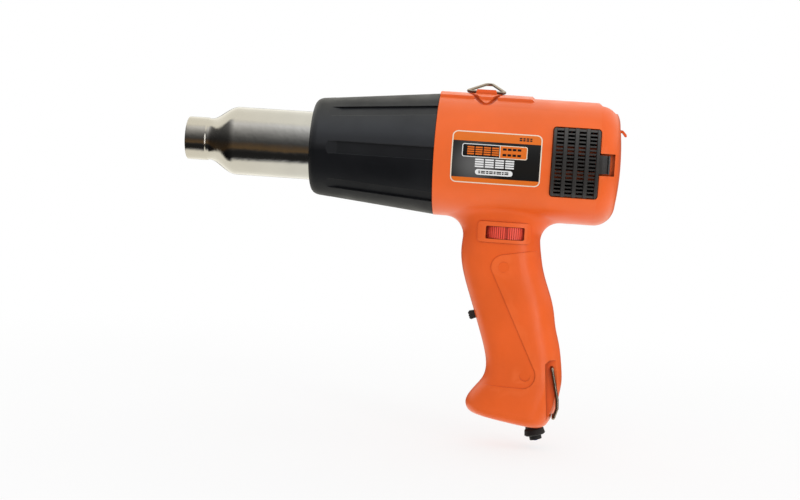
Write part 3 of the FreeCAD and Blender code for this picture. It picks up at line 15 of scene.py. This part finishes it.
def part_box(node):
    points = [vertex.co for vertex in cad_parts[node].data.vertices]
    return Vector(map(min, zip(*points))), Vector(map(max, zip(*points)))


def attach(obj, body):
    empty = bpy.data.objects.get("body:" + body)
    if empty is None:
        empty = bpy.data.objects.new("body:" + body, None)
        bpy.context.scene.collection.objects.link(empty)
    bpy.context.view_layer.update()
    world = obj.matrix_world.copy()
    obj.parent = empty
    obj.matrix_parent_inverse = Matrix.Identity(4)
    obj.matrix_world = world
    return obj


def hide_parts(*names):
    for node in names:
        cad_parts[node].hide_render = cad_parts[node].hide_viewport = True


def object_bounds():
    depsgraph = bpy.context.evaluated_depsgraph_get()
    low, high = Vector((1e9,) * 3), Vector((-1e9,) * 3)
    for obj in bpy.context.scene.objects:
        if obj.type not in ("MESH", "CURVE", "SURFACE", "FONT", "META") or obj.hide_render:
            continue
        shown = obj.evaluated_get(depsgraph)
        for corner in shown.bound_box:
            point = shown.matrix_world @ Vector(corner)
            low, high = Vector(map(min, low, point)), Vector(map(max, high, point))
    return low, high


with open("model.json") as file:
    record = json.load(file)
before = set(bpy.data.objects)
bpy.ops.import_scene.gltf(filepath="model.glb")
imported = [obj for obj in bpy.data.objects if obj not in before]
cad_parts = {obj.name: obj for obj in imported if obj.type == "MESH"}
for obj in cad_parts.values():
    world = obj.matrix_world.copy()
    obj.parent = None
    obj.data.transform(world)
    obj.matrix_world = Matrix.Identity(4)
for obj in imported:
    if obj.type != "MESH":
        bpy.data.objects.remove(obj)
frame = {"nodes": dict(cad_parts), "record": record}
CAD_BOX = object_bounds()
MM = 0.001
NODES = frame["nodes"]


# ---------------------------------------------------------------- materials

def new_material(name):
    """A new node material, with its node tree and principled shader."""
    material = bpy.data.materials.new(name)
    material.use_nodes = True
    shader = material.node_tree.nodes["Principled BSDF"]
    return material, material.node_tree, shader


def add_node(tree, kind, inputs=None, **settings):
    """A new shader node with the given settings and unlinked input values."""
    node = tree.nodes.new(kind)
    for key, value in settings.items():
        setattr(node, key, value)
    for key, value in (inputs or {}).items():
        node.inputs[key].default_value = value
    return node


def object_coordinates(tree):
    """The shaded point in the object's own axes."""
    return add_node(tree, "ShaderNodeTexCoord").outputs["Object"]


def noise(tree, scale, detail=3.0, vector=None):
    """Smooth noise between 0 and 1, with scale features to a metre."""
    node = add_node(tree, "ShaderNodeTexNoise", {"Scale": scale, "Detail": detail})
    tree.links.new(vector or object_coordinates(tree), node.inputs["Vector"])
    return node.outputs["Fac"]


def ramp(tree, factor, stops):
    """A colour ramp; stops are (position, grey value or rgb)."""
    node = add_node(tree, "ShaderNodeValToRGB")
    elements = node.color_ramp.elements
    while len(elements) < len(stops):
        elements.new(0.5)
    for element, (position, value) in zip(elements, stops):
        rgb = value if isinstance(value, tuple) else (value, value, value)
        element.position = position
        element.color = (*rgb, 1.0)
    tree.links.new(factor, node.inputs["Fac"])
    return node.outputs["Color"]


def mix_colour(tree, factor, first, second, blend="MIX"):
    """Two colours mixed; each argument is a socket, and the colours may be rgb values."""
    node = add_node(tree, "ShaderNodeMix", data_type="RGBA", blend_type=blend)
    for socket, value in ((0, factor), (6, first), (7, second)):
        if hasattr(value, "links"):
            tree.links.new(value, node.inputs[socket])
        elif isinstance(value, tuple):
            node.inputs[socket].default_value = (*value, 1.0)
        else:
            node.inputs[socket].default_value = value
    return node.outputs[2]


def mix_shader(tree, factor, first, second):
    """Two shaders mixed by a socket."""
    node = add_node(tree, "ShaderNodeMixShader")
    tree.links.new(factor, node.inputs["Fac"])
    tree.links.new(first, node.inputs[1])
    tree.links.new(second, node.inputs[2])
    return node.outputs["Shader"]


def axes(tree, vector):
    """The X, Y and Z sockets of a vector."""
    split = add_node(tree, "ShaderNodeSeparateXYZ")
    tree.links.new(vector, split.inputs["Vector"])
    return split.outputs


def rescale(tree, value, source, target=(0.0, 1.0), curve="LINEAR"):
    """A value mapped from the source range to the target range, and held beyond its ends."""
    node = add_node(tree, "ShaderNodeMapRange",
                    {"From Min": source[0], "From Max": source[1],
                     "To Min": target[0], "To Max": target[1]}, interpolation_type=curve)
    tree.links.new(value, node.inputs["Value"])
    return node.outputs["Result"]


def distance_from(tree, centre):
    """How far the shaded point is from the centre."""
    away = add_node(tree, "ShaderNodeVectorMath", {1: centre}, operation="DISTANCE")
    tree.links.new(object_coordinates(tree), away.inputs[0])
    return away.outputs["Value"]


def bump(tree, height, strength, distance, normal=None):
    node = add_node(tree, "ShaderNodeBump", {"Strength": strength, "Distance": distance})
    tree.links.new(height, node.inputs["Height"])
    if normal is not None:
        tree.links.new(normal, node.inputs["Normal"])
    return node.outputs["Normal"]


def soft_edges(tree, radius):
    """A shading normal that rounds sharp edges by radius."""
    return add_node(tree, "ShaderNodeBevel", {"Radius": radius}, samples=4).outputs["Normal"]


def crevice_shade(tree, base, depth, darkest):
    """Painted shade: darkens a colour in narrow gaps, where shadow falls."""
    shade = add_node(tree, "ShaderNodeAmbientOcclusion", {"Distance": depth}, samples=6)
    amount = ramp(tree, shade.outputs["AO"], [(0.05, darkest), (0.75, 1.0)])
    return mix_colour(tree, 1.0, base, amount, blend="MULTIPLY")


def painted_upper_sheen(tree):
    """Painted sheen: a specular level that is low on undersides, high on the flanks and lower
    again on top, standing in for the lights above and in front.
    """
    facing = add_node(tree, "ShaderNodeNewGeometry").outputs["Normal"]
    lift = rescale(tree, axes(tree, facing)["Z"], (-1.0, 1.0))
    return ramp(tree, lift, [(0.10, 0.10), (0.46, 0.14), (0.54, 1.0), (0.66, 1.0), (0.92, 0.22)])


def moulded_plastic(name, colour, roughness=0.42, grain=0.00004, edge=0.0004, wear_and_highlight=0.06,
                    specular=0.45, painted_crevice_shade=0.45, gleam=(1.0, 1.0, 1.0)):
    """Moulded plastic: fine grain, slight tone changes, rounded edges that are paler from wear
    and painted highlight, and painted shade in crevices.

    specular is a number, or a function of the node tree that gives a socket.
    """
    material, tree, shader = new_material(name)
    patches = noise(tree, 28.0, 4.0)
    darker = tuple(c * 0.93 for c in colour)
    lighter = tuple(min(1.0, c * 1.06 + 0.002) for c in colour)
    base = mix_colour(tree, ramp(tree, patches, [(0.35, 0.0), (0.65, 1.0)]), darker, lighter)
    rounded = soft_edges(tree, edge)
    # Paler pointy edges: edge wear, and a painted highlight where raised edges catch the light.
    edges = ramp(tree, add_node(tree, "ShaderNodeNewGeometry").outputs["Pointiness"],
                 [(0.50, 0.0), (0.56, wear_and_highlight)])
    base = mix_colour(tree, edges, base, tuple(min(1.0, c * 1.5 + 0.05) for c in colour))
    # Painted shade in crevices, gaps and slots.
    base = crevice_shade(tree, base, 0.004, painted_crevice_shade)
    tree.links.new(base, shader.inputs["Base Color"])
    rough = ramp(tree, noise(tree, 90.0, 2.0), [(0.3, roughness - 0.05), (0.7, roughness + 0.06)])
    tree.links.new(rough, shader.inputs["Roughness"])
    if callable(specular):
        tree.links.new(specular(tree), shader.inputs["Specular IOR Level"])
    else:
        shader.inputs["Specular IOR Level"].default_value = specular
    fine = noise(tree, 2600.0, 2.0)
    tree.links.new(bump(tree, fine, 0.35, grain, rounded), shader.inputs["Normal"])
    shader.inputs["Specular Tint"].default_value = (*gleam, 1.0)
    return material


def metal(name, colour, roughness, tint=None, waves=0.0):
    """Bare metal with fine brush marks along X; waves is the depth of its shallow dents."""
    material, tree, shader = new_material(name)
    shader.inputs["Metallic"].default_value = 1.0
    brushed = add_node(tree, "ShaderNodeMapping", {"Scale": (60.0, 2200.0, 2200.0)})
    tree.links.new(object_coordinates(tree), brushed.inputs["Vector"])
    marks = noise(tree, 1.0, vector=brushed.outputs["Vector"])
    smears = noise(tree, 45.0, 4.0)
    base = mix_colour(tree, ramp(tree, smears, [(0.35, 0.0), (0.7, 1.0)]),
                      tuple(c * 0.9 for c in colour), colour)
    if tint is not None:
        base = tint(tree, base)
    tree.links.new(base, shader.inputs["Base Color"])
    rough = ramp(tree, smears, [(0.3, roughness * 0.85), (0.75, roughness * 1.25)])
    tree.links.new(rough, shader.inputs["Roughness"])
    normal = bump(tree, marks, 0.25, 0.00001, soft_edges(tree, 0.0002))
    if waves:
        normal = bump(tree, noise(tree, 70.0), 1.0, waves, normal)
    tree.links.new(normal, shader.inputs["Normal"])
    return material


def heat_tint(tree, base):
    """Faint straw colour that grows towards the hot end of the tube."""
    along = axes(tree, object_coordinates(tree))["X"]
    amount = rescale(tree, along, (0.0, 0.075), (0.35, 0.0))
    return mix_colour(tree, amount, base, (0.35, 0.30, 0.22))


def rubber(name, colour):
    return moulded_plastic(name, colour, roughness=0.62, grain=0.00006, edge=0.0003, wear_and_highlight=0.03,
                           specular=0.3)


ORANGE = (0.85, 0.119, 0.011)
CHARCOAL = (0.0062, 0.0066, 0.0080)
BLACK = (0.014, 0.0135, 0.0135)
DARK_GREY = (0.026, 0.024, 0.023)
RED = (0.95, 0.088, 0.048)

MATERIALS = {
    # The orange housing's raised edges carry a painted highlight besides wear, and its gaps and
    # vent slots carry painted shade.
    "orange_plastic": moulded_plastic("orange_plastic", ORANGE, roughness=0.36, wear_and_highlight=0.2,
                                      specular=0.29, painted_crevice_shade=0.25),
    # The sleeve's specular level paints the sheen of the lights from above.
    "sleeve_plastic": moulded_plastic("sleeve_plastic", CHARCOAL, roughness=0.5, edge=0.0007,
                                      specular=painted_upper_sheen, gleam=(0.80, 0.84, 0.92)),
    "nozzle_steel": metal("nozzle_steel", (0.37, 0.365, 0.35), roughness=0.12, tint=heat_tint,
                          waves=0.00035),
    "mica": moulded_plastic("mica", (0.55, 0.47, 0.34), roughness=0.7),
    "heater_wire": metal("heater_wire", (0.25, 0.22, 0.20), roughness=0.5),
    "ceramic": moulded_plastic("ceramic", (0.75, 0.72, 0.66), roughness=0.8),
    "zinc_steel": metal("zinc_steel", (0.60, 0.61, 0.63), roughness=0.3),
    # Painted shade: the steel inside, seen through the vents, is coloured dark red-brown for the
    # shade behind them.
    "dark_steel": metal("dark_steel", (0.11, 0.05, 0.04), roughness=0.5),
    "wire_steel": metal("wire_steel", (0.24, 0.195, 0.155), roughness=0.22),
    "dark_plastic": moulded_plastic("dark_plastic", (0.045, 0.045, 0.05)),
    "black_plastic": moulded_plastic("black_plastic", DARK_GREY, roughness=0.4, edge=0.00025,
                                     specular=0.6),
    "ivory_plastic": moulded_plastic("ivory_plastic", (0.68, 0.65, 0.55)),
    "red_plastic": moulded_plastic("red_plastic", RED, roughness=0.36, edge=0.0002),
    "ferrite": moulded_plastic("ferrite", (0.06, 0.06, 0.065), roughness=0.6),
    "copper_wire": metal("copper_wire", (0.70, 0.30, 0.14), roughness=0.35),
    "bronze": metal("bronze", (0.66, 0.42, 0.18), roughness=0.35),
    "rubber_black": rubber("rubber_black", BLACK),
    "circuit_board": moulded_plastic("circuit_board", (0.03, 0.16, 0.06), roughness=0.3),
    "bare_aluminium": metal("bare_aluminium", (0.78, 0.79, 0.80), roughness=0.35),
    "capacitor_film": moulded_plastic("capacitor_film", (0.50, 0.33, 0.03), roughness=0.3),
    "wire_insulation": moulded_plastic("wire_insulation", (0.05, 0.09, 0.42), roughness=0.35),
    "label_stock": moulded_plastic("label_stock", (0.02, 0.02, 0.02), roughness=0.3),
}


def finish_cad_nodes():
    """Gives every carried CAD node the material of its slot in the record."""
    for entry in frame["record"]["subparts"]:
        node = NODES[entry["node"]]
        node.data.materials.clear()
        node.data.materials.append(MATERIALS[entry["material_slot"]])


# ---------------------------------------------------------------- pieces made here

def thicken(mesh):
    """Doubles flat faces into closed plates, and gives the vertices of the side to be raised."""
    raised = bmesh.ops.extrude_face_region(mesh, geom=mesh.faces[:])
    return {v for v in raised["geom"] if isinstance(v, bmesh.types.BMVert)}


def new_piece(name, mesh, material):
    """The finished mesh as a piece of the gun's body."""
    bmesh.ops.recalc_face_normals(mesh, faces=mesh.faces[:])
    data = bpy.data.meshes.new(name)
    mesh.to_mesh(data)
    mesh.free()
    data.materials.append(material)
    piece = bpy.data.objects.new(name, data)
    bpy.context.scene.collection.objects.link(piece)
    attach(piece, "gun")
    return piece


# ---------------------------------------------------------------- parting line

# Half of the gap that the CAD leaves between the housing halves, how much of it the tongue fills,
# and the area that tells the parting face of a wall from the end of a screw boss.
HALF_GAP = 0.06 * MM
TONGUE_SHARE = 0.96
SMALLEST_WALL = 150 * MM ** 2


def large_patches(mesh, smallest):
    """The faces that belong to edge-connected patches of at least the smallest area."""
    left = set(mesh.faces)
    kept = set()
    while left:
        patch = [left.pop()]
        for face in patch:
            near = {other for edge in face.edges for other in edge.link_faces} & left
            left -= near
            patch += near
        if sum(face.calc_area() for face in patch) >= smallest:
            kept.update(patch)
    return kept


def make_parting_tongue():
    """The tongue that closes the joint between the housing halves, dark orange as painted shade
    in the joint.

    It is raised from the walls' parting face on the left half, without the screw bosses, and
    fills most of the gap on both sides of the middle plane.
    """
    shell = NODES["housing_left"]
    mesh = bmesh.new()
    mesh.from_mesh(shell.data)
    mesh.transform(shell.matrix_world)
    mesh.normal_update()
    others = [face for face in mesh.faces
              if face.normal.y < 0.99 or abs(face.calc_center_median().y) > 2 * HALF_GAP]
    bmesh.ops.delete(mesh, geom=others, context="FACES")
    bmesh.ops.remove_doubles(mesh, verts=mesh.verts[:], dist=0.001 * MM)
    walls = large_patches(mesh, SMALLEST_WALL)
    bosses = [face for face in mesh.faces if face not in walls]
    bmesh.ops.delete(mesh, geom=bosses, context="FACES")
    raised = thicken(mesh)
    for vert in mesh.verts:
        vert.co.y = HALF_GAP * (TONGUE_SHARE if vert in raised else -TONGUE_SHARE)
    # Painted shade: the tongue takes the housing's orange darkened to the shade inside the joint.
    painted_joint_shade = tuple(0.35 * c for c in ORANGE)
    plastic = moulded_plastic("tongue_shade_plastic", painted_joint_shade, roughness=0.6)
    new_piece("parting_tongue", mesh, plastic)


# ---------------------------------------------------------------- label

# Outlines of the label's artwork are in millimetres along and down from its upper front corner.
LABEL_SINK = 0.27 * MM
SHEET_THICKNESS = 0.1 * MM
PRINT_THICKNESS = 0.03 * MM
STRIP_WIDTH = 1.0 * MM
ARC_STEPS = 6


def rounded_outline(left, top, right, bottom, radii):
    """A rectangle whose corners, from the upper left clockwise, are rounded by radii."""
    turns = ((right, top, 1, -1, 270), (right, bottom, 1, 1, 0), (left, bottom, -1, 1, 90),
             (left, top, -1, -1, 180))
    radii = radii[1:] + radii[:1]
    points = []
    for (x, y, side, down, first), radius in zip(turns, radii):
        if radius == 0:
            points.append((x, y))
            continue
        centre = (x - side * radius, y - down * radius)
        for step in range(ARC_STEPS + 1):
            angle = math.radians(first + 90 * step / ARC_STEPS)
            points.append((centre[0] + radius * math.cos(angle),
                           centre[1] + radius * math.sin(angle)))
    return points


def bars(left, top, widths, height, rows, gap, line):
    """Blocks of short level bars in a row: (left, top, right, bottom) of every bar."""
    pitch = (height - line) / (rows - 1)
    boxes = []
    for number, width in enumerate(widths):
        start = left + sum(widths[:number]) + gap * number
        for row in range(rows):
            y = top + row * pitch
            boxes.append((start, y, start + width, y + line))
    return boxes


class LabelFlank:
    """The curved place of the label on the barrel, worked out from the box of its CAD node.

    The sheet starts LABEL_SINK under the CAD label's outer face.
    """

    def __init__(self):
        low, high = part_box("rating_label")
        self.front = low[0]
        self.length = high[0] - low[0]
        self.radius = -low[1]
        self.top = math.asin(high[2] / self.radius)
        self.bottom = math.asin(low[2] / self.radius)
        self.floor = self.radius - LABEL_SINK

    def place(self, along, down, height):
        """The point at the given distances along, down and out from the sheet's inner face."""
        angle = self.top - down / self.radius
        reach = self.floor + height
        return Vector((self.front + along, -reach * math.cos(angle), reach * math.sin(angle)))


def printed(name, flank, outlines, layer, material):
    """Thin curved plates with the given outlines. Layer 0 is the sheet; print lies on it."""
    mesh = bmesh.new()
    for outline in outlines:
        corners = [mesh.verts.new((x * MM, y * MM, 0.0)) for x, y in outline]
        mesh.faces.new(corners)
    depth = (flank.top - flank.bottom) * flank.radius
    for line in range(1, int(depth / STRIP_WIDTH)):
        geometry = mesh.verts[:] + mesh.edges[:] + mesh.faces[:]
        bmesh.ops.bisect_plane(mesh, geom=geometry, plane_co=(0, line * STRIP_WIDTH, 0),
                               plane_no=(0, 1, 0))
    base = 0.0 if layer == 0 else SHEET_THICKNESS + (layer - 1) * PRINT_THICKNESS
    thick = SHEET_THICKNESS if layer == 0 else PRINT_THICKNESS
    raised = thicken(mesh)
    for vert in mesh.verts:
        height = base + (thick if vert in raised else 0.0)
        vert.co = flank.place(vert.co.x, vert.co.y, height)
    return new_piece(name, mesh, material)


def film(name, colour, shine=None):
    """Printed film with faint ink unevenness; shine is the centre, reach and colour of a glow."""
    material, tree, shader = new_material(name)
    ink = ramp(tree, noise(tree, 400.0, 2.0), [(0.3, 0.96), (0.7, 1.0)])
    base = mix_colour(tree, 1.0, colour, ink, blend="MULTIPLY")
    if shine is not None:
        centre, reach, peak = shine
        fade = rescale(tree, distance_from(tree, centre), (0.0, reach), (1.0, 0.0), "SMOOTHSTEP")
        base = mix_colour(tree, fade, base, peak)
    tree.links.new(base, shader.inputs["Base Color"])
    shader.inputs["Roughness"].default_value = 0.32
    shader.inputs["Specular IOR Level"].default_value = 0.35
    tree.links.new(bump(tree, noise(tree, 900.0), 0.2, 0.00001), shader.inputs["Normal"])
    return material


def boxed(boxes):
    """The four-cornered outline of each (left, top, right, bottom) box."""
    return [[(a, b), (c, b), (c, d), (a, d)] for a, b, c, d in boxes]


def make_label():
    """Film label: pale border, orange bands, dark panel, two-part badge and a pill, all plain."""
    flank = LabelFlank()
    wide = flank.length / MM
    deep = (flank.top - flank.bottom) * flank.radius / MM
    edge, corner = 0.65, 3.3
    inner = corner - edge
    upper_band, lower_band = 5.9, 26.9
    cream = film("label_cream", (0.86, 0.74, 0.60))
    orange = film("label_orange", (0.80, 0.165, 0.008))
    black = film("label_black", (0.006, 0.006, 0.006))
    white = film("label_white", (0.84, 0.84, 0.84))
    glow = flank.place(13 * MM, 19 * MM, 0.0)
    panel = film("label_panel", (0.010, 0.010, 0.010), (glow, 0.019, (0.12, 0.12, 0.12)))
    sheet = printed("label_sheet", flank,
                    [rounded_outline(0, 0, wide, deep, (corner,) * 4)], 0, cream)
    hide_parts("rating_label")
    printed("label_bands", flank, [
        rounded_outline(edge, edge, wide - edge, upper_band, (inner, inner, 0, 0)),
        rounded_outline(edge, lower_band, wide - edge, deep - edge, (0, 0, inner, inner))],
        1, orange)
    printed("label_panel", flank, boxed([(edge, upper_band, wide - edge, lower_band)]), 1, panel)
    badge, split, badge_end = 6.4, 27.1, 42.4
    badge_top, badge_bottom = 7.9, 14.6
    line, frame_round, badge_round = 0.42, 1.2, 0.8
    dark = (badge, badge_top, split, badge_bottom)
    dark_frame = (badge - line, badge_top - line, split, badge_bottom + line)
    bright = (split + line, badge_top, badge_end, badge_bottom)
    bright_rim = (split, badge_top - line, badge_end + line, badge_bottom + line)
    for name, box, left_round, right_round, layer, ink in (
            ("badge_frames", dark_frame, frame_round, 0, 2, white),
            ("badge_rim", bright_rim, 0, frame_round, 2, cream),
            ("badge_dark", dark, badge_round, 0, 3, black),
            ("badge_bright", bright, 0, badge_round, 3, orange)):
        radii = (left_round, right_round, right_round, left_round)
        printed(name, flank, [rounded_outline(*box, radii)], layer, ink)
    printed("badge_marks", flank, boxed(
        bars(badge + 2.5, badge_top + 1.1, (3.9,) * 4, 4.6, 4, 0.75, 0.8)), 4, orange)
    printed("badge_dashes", flank, boxed(
        bars(split + 1.8, badge_top + 1.1, (2.1,) * 4, 4.5, 2, 0.65, 1.3)), 4, black)
    printed("white_marks", flank, boxed(
        bars(13.7, 15.8, (4.9,) * 4, 4.8, 4, 0.8, 0.85)), 2, white)
    pill = (14.0, 21.7, 35.2, 25.0)
    pill_round = 1.64
    printed("pill", flank, [rounded_outline(*pill, (pill_round,) * 4)], 2, white)
    printed("pill_dashes", flank, boxed(
        bars(pill[0] + 1.9, pill[1] + 0.85, (1.0, 2.4, 1.4, 2.0, 1.2, 2.6, 1.0, 2.2), 1.6, 2,
             0.45, 0.65)), 3, black)
    printed("band_dashes", flank, boxed(
        bars(37.9, 2.3, (1.5, 1.3, 1.6, 1.2), 2.0, 2, 0.5, 0.85)), 2, black)


# ---------------------------------------------------------------- stage

PICTURE_WIDTH = 472 * MM
SENSOR_WIDTH = 36.0
CAMERA_PLACE = Vector((213, -950, 0)) * MM
CAMERA_AIM = Vector((129.5, 0, -57.9)) * MM
CAMERA_ROLL = math.radians(3.8)


def make_camera():
    """The camera stands level with the barrel on the label's side, and is rolled a few degrees.

    The picture is PICTURE_WIDTH wide at the distance of its aim.
    """
    data = bpy.data.cameras.new("camera")
    camera = bpy.data.objects.new("camera", data)
    bpy.context.scene.collection.objects.link(camera)
    look = CAMERA_AIM - CAMERA_PLACE
    upright = look.to_track_quat("-Z", "Y").to_matrix()
    camera.matrix_world = Matrix.Translation(CAMERA_PLACE) @ (
        upright @ Matrix.Rotation(CAMERA_ROLL, 3, "Z")).to_4x4()
    data.sensor_width = SENSOR_WIDTH
    data.lens = SENSOR_WIDTH * look.length / PICTURE_WIDTH
    data.clip_start = 0.01
    data.clip_end = 20.0
    bpy.context.scene.camera = camera


def mirrored_room(tree, direction, height):
    """What shiny surfaces mirror in a direction; height runs from 0 at the floor to 1 overhead.

    On the camera's side it is a bright tent overhead, a dark room below it and a pale floor, all
    dimmer ahead of the outlet. On the far side it is a bright backdrop with a dark level band.
    """
    tent = (0.95, 0.93, 0.84)
    room = ramp(tree, height, [
        (0.0, tent), (0.03, tent), (0.06, 0.3), (0.09, 0.022), (0.20, 0.02), (0.25, 0.035),
        (0.305, (0.14, 0.09, 0.045)), (0.42, (0.09, 0.065, 0.045)), (0.50, 0.07), (0.60, 0.13),
        (0.70, 0.24), (0.80, 0.42), (0.866, 0.60), (0.93, 0.85), (0.98, tent), (1.0, tent)])
    dimmed = rescale(tree, direction["X"], (-0.75, -0.1), (0.3, 1.0))
    room = mix_colour(tree, 1.0, room, dimmed, blend="MULTIPLY")
    ahead = rescale(tree, direction["X"], (-1.0, 0.0), (-0.5, 0.0))
    depth = add_node(tree, "ShaderNodeMath", operation="ADD")
    tree.links.new(direction["Y"], depth.inputs[0])
    tree.links.new(ahead, depth.inputs[1])
    far_side = rescale(tree, depth.outputs["Value"], (-0.42, -0.28))
    band = ramp(tree, height, [(0.33, 1.0), (0.42, 0.0), (0.58, 0.0), (0.67, 1.0)])
    backdrop = mix_colour(tree, 1.0, far_side, band, blend="MULTIPLY")
    return mix_colour(tree, backdrop, room, tent)


def make_world():
    """Surroundings that look white, light matt surfaces evenly and give shiny ones a room."""
    world = bpy.data.worlds.new("studio")
    bpy.context.scene.world = world
    world.use_nodes = True
    tree = world.node_tree
    tree.nodes.clear()
    direction = axes(tree, add_node(tree, "ShaderNodeTexCoord").outputs["Generated"])
    height = rescale(tree, direction["Z"], (-1.0, 1.0))
    ray = add_node(tree, "ShaderNodeLightPath").outputs
    seen = mix_colour(tree, ray["Is Camera Ray"], (0.84, 0.84, 0.84), (1.0, 1.0, 1.0))
    matt = add_node(tree, "ShaderNodeBackground", {"Strength": 1.0})
    tree.links.new(seen, matt.inputs["Color"])
    shiny = add_node(tree, "ShaderNodeBackground", {"Strength": 1.8})
    tree.links.new(mirrored_room(tree, direction, height), shiny.inputs["Color"])
    either = mix_shader(tree, ray["Is Glossy Ray"], matt.outputs["Background"],
                        shiny.outputs["Background"])
    output = add_node(tree, "ShaderNodeOutputWorld")
    tree.links.new(either, output.inputs["Surface"])


def area_light(name, place, aim, size, power, in_metal=True):
    """A rectangular light; in_metal says whether shiny surfaces mirror it."""
    data = bpy.data.lights.new(name, "AREA")
    data.shape = "RECTANGLE"
    data.size, data.size_y = size
    data.energy = power
    light = bpy.data.objects.new(name, data)
    light.location = place
    light.rotation_euler = (Vector(aim) - Vector(place)).to_track_quat("-Z", "Y").to_euler()
    light.visible_glossy = in_metal
    bpy.context.scene.collection.objects.link(light)


def floor_paint():
    """Near-white floor that keeps only a faint shadow and fades to plain white further out."""
    material, tree, shader = new_material("floor_paint")
    base = ramp(tree, noise(tree, 3.0, 2.0), [(0.3, 0.93), (0.7, 0.96)])
    tree.links.new(base, shader.inputs["Base Color"])
    shader.inputs["Roughness"].default_value = 0.9
    shader.inputs["Specular IOR Level"].default_value = 0.0
    glow = add_node(tree, "ShaderNodeEmission", {"Color": (1.0, 1.0, 1.0, 1.0), "Strength": 1.0})
    away = distance_from(tree, (0.2, 0.0, 0.0))
    share = rescale(tree, away, (0.12, 0.75), (0.72, 1.0), "SMOOTHSTEP")
    faded = mix_shader(tree, share, shader.outputs["BSDF"], glow.outputs["Emission"])
    output = tree.nodes["Material Output"]
    tree.links.new(faded, output.inputs["Surface"])
    return material


def make_stage():
    """Pale floor under the gun and three soft lights."""
    low = CAD_BOX[0]
    reach, height = 6.0, low[2] - 4 * MM
    mesh = bpy.data.meshes.new("floor")
    mesh.from_pydata([(-reach, -reach, height), (reach, -reach, height), (reach, reach, height),
                      (-reach, reach, height)], [], [(0, 1, 2, 3)])
    floor = bpy.data.objects.new("floor", mesh)
    bpy.context.scene.collection.objects.link(floor)
    mesh.materials.append(floor_paint())
    floor.visible_glossy = False
    floor.visible_diffuse = False
    area_light("key", (-0.1, -0.75, 0.95), (0.16, 0, -0.03), (0.7, 0.5), 0.5, in_metal=False)
    area_light("side", (0.85, -0.75, -0.05), (0.20, 0, -0.08), (0.25, 0.9), 3.0)
    area_light("rim", (0.3, 0.8, 0.6), (0.16, 0, -0.05), (1.0, 0.5), 1.2, in_metal=False)


finish_cad_nodes()
make_parting_tongue()
make_label()
make_camera()
make_world()
make_stage()
bpy.context.scene.view_settings.view_transform = "Standard"
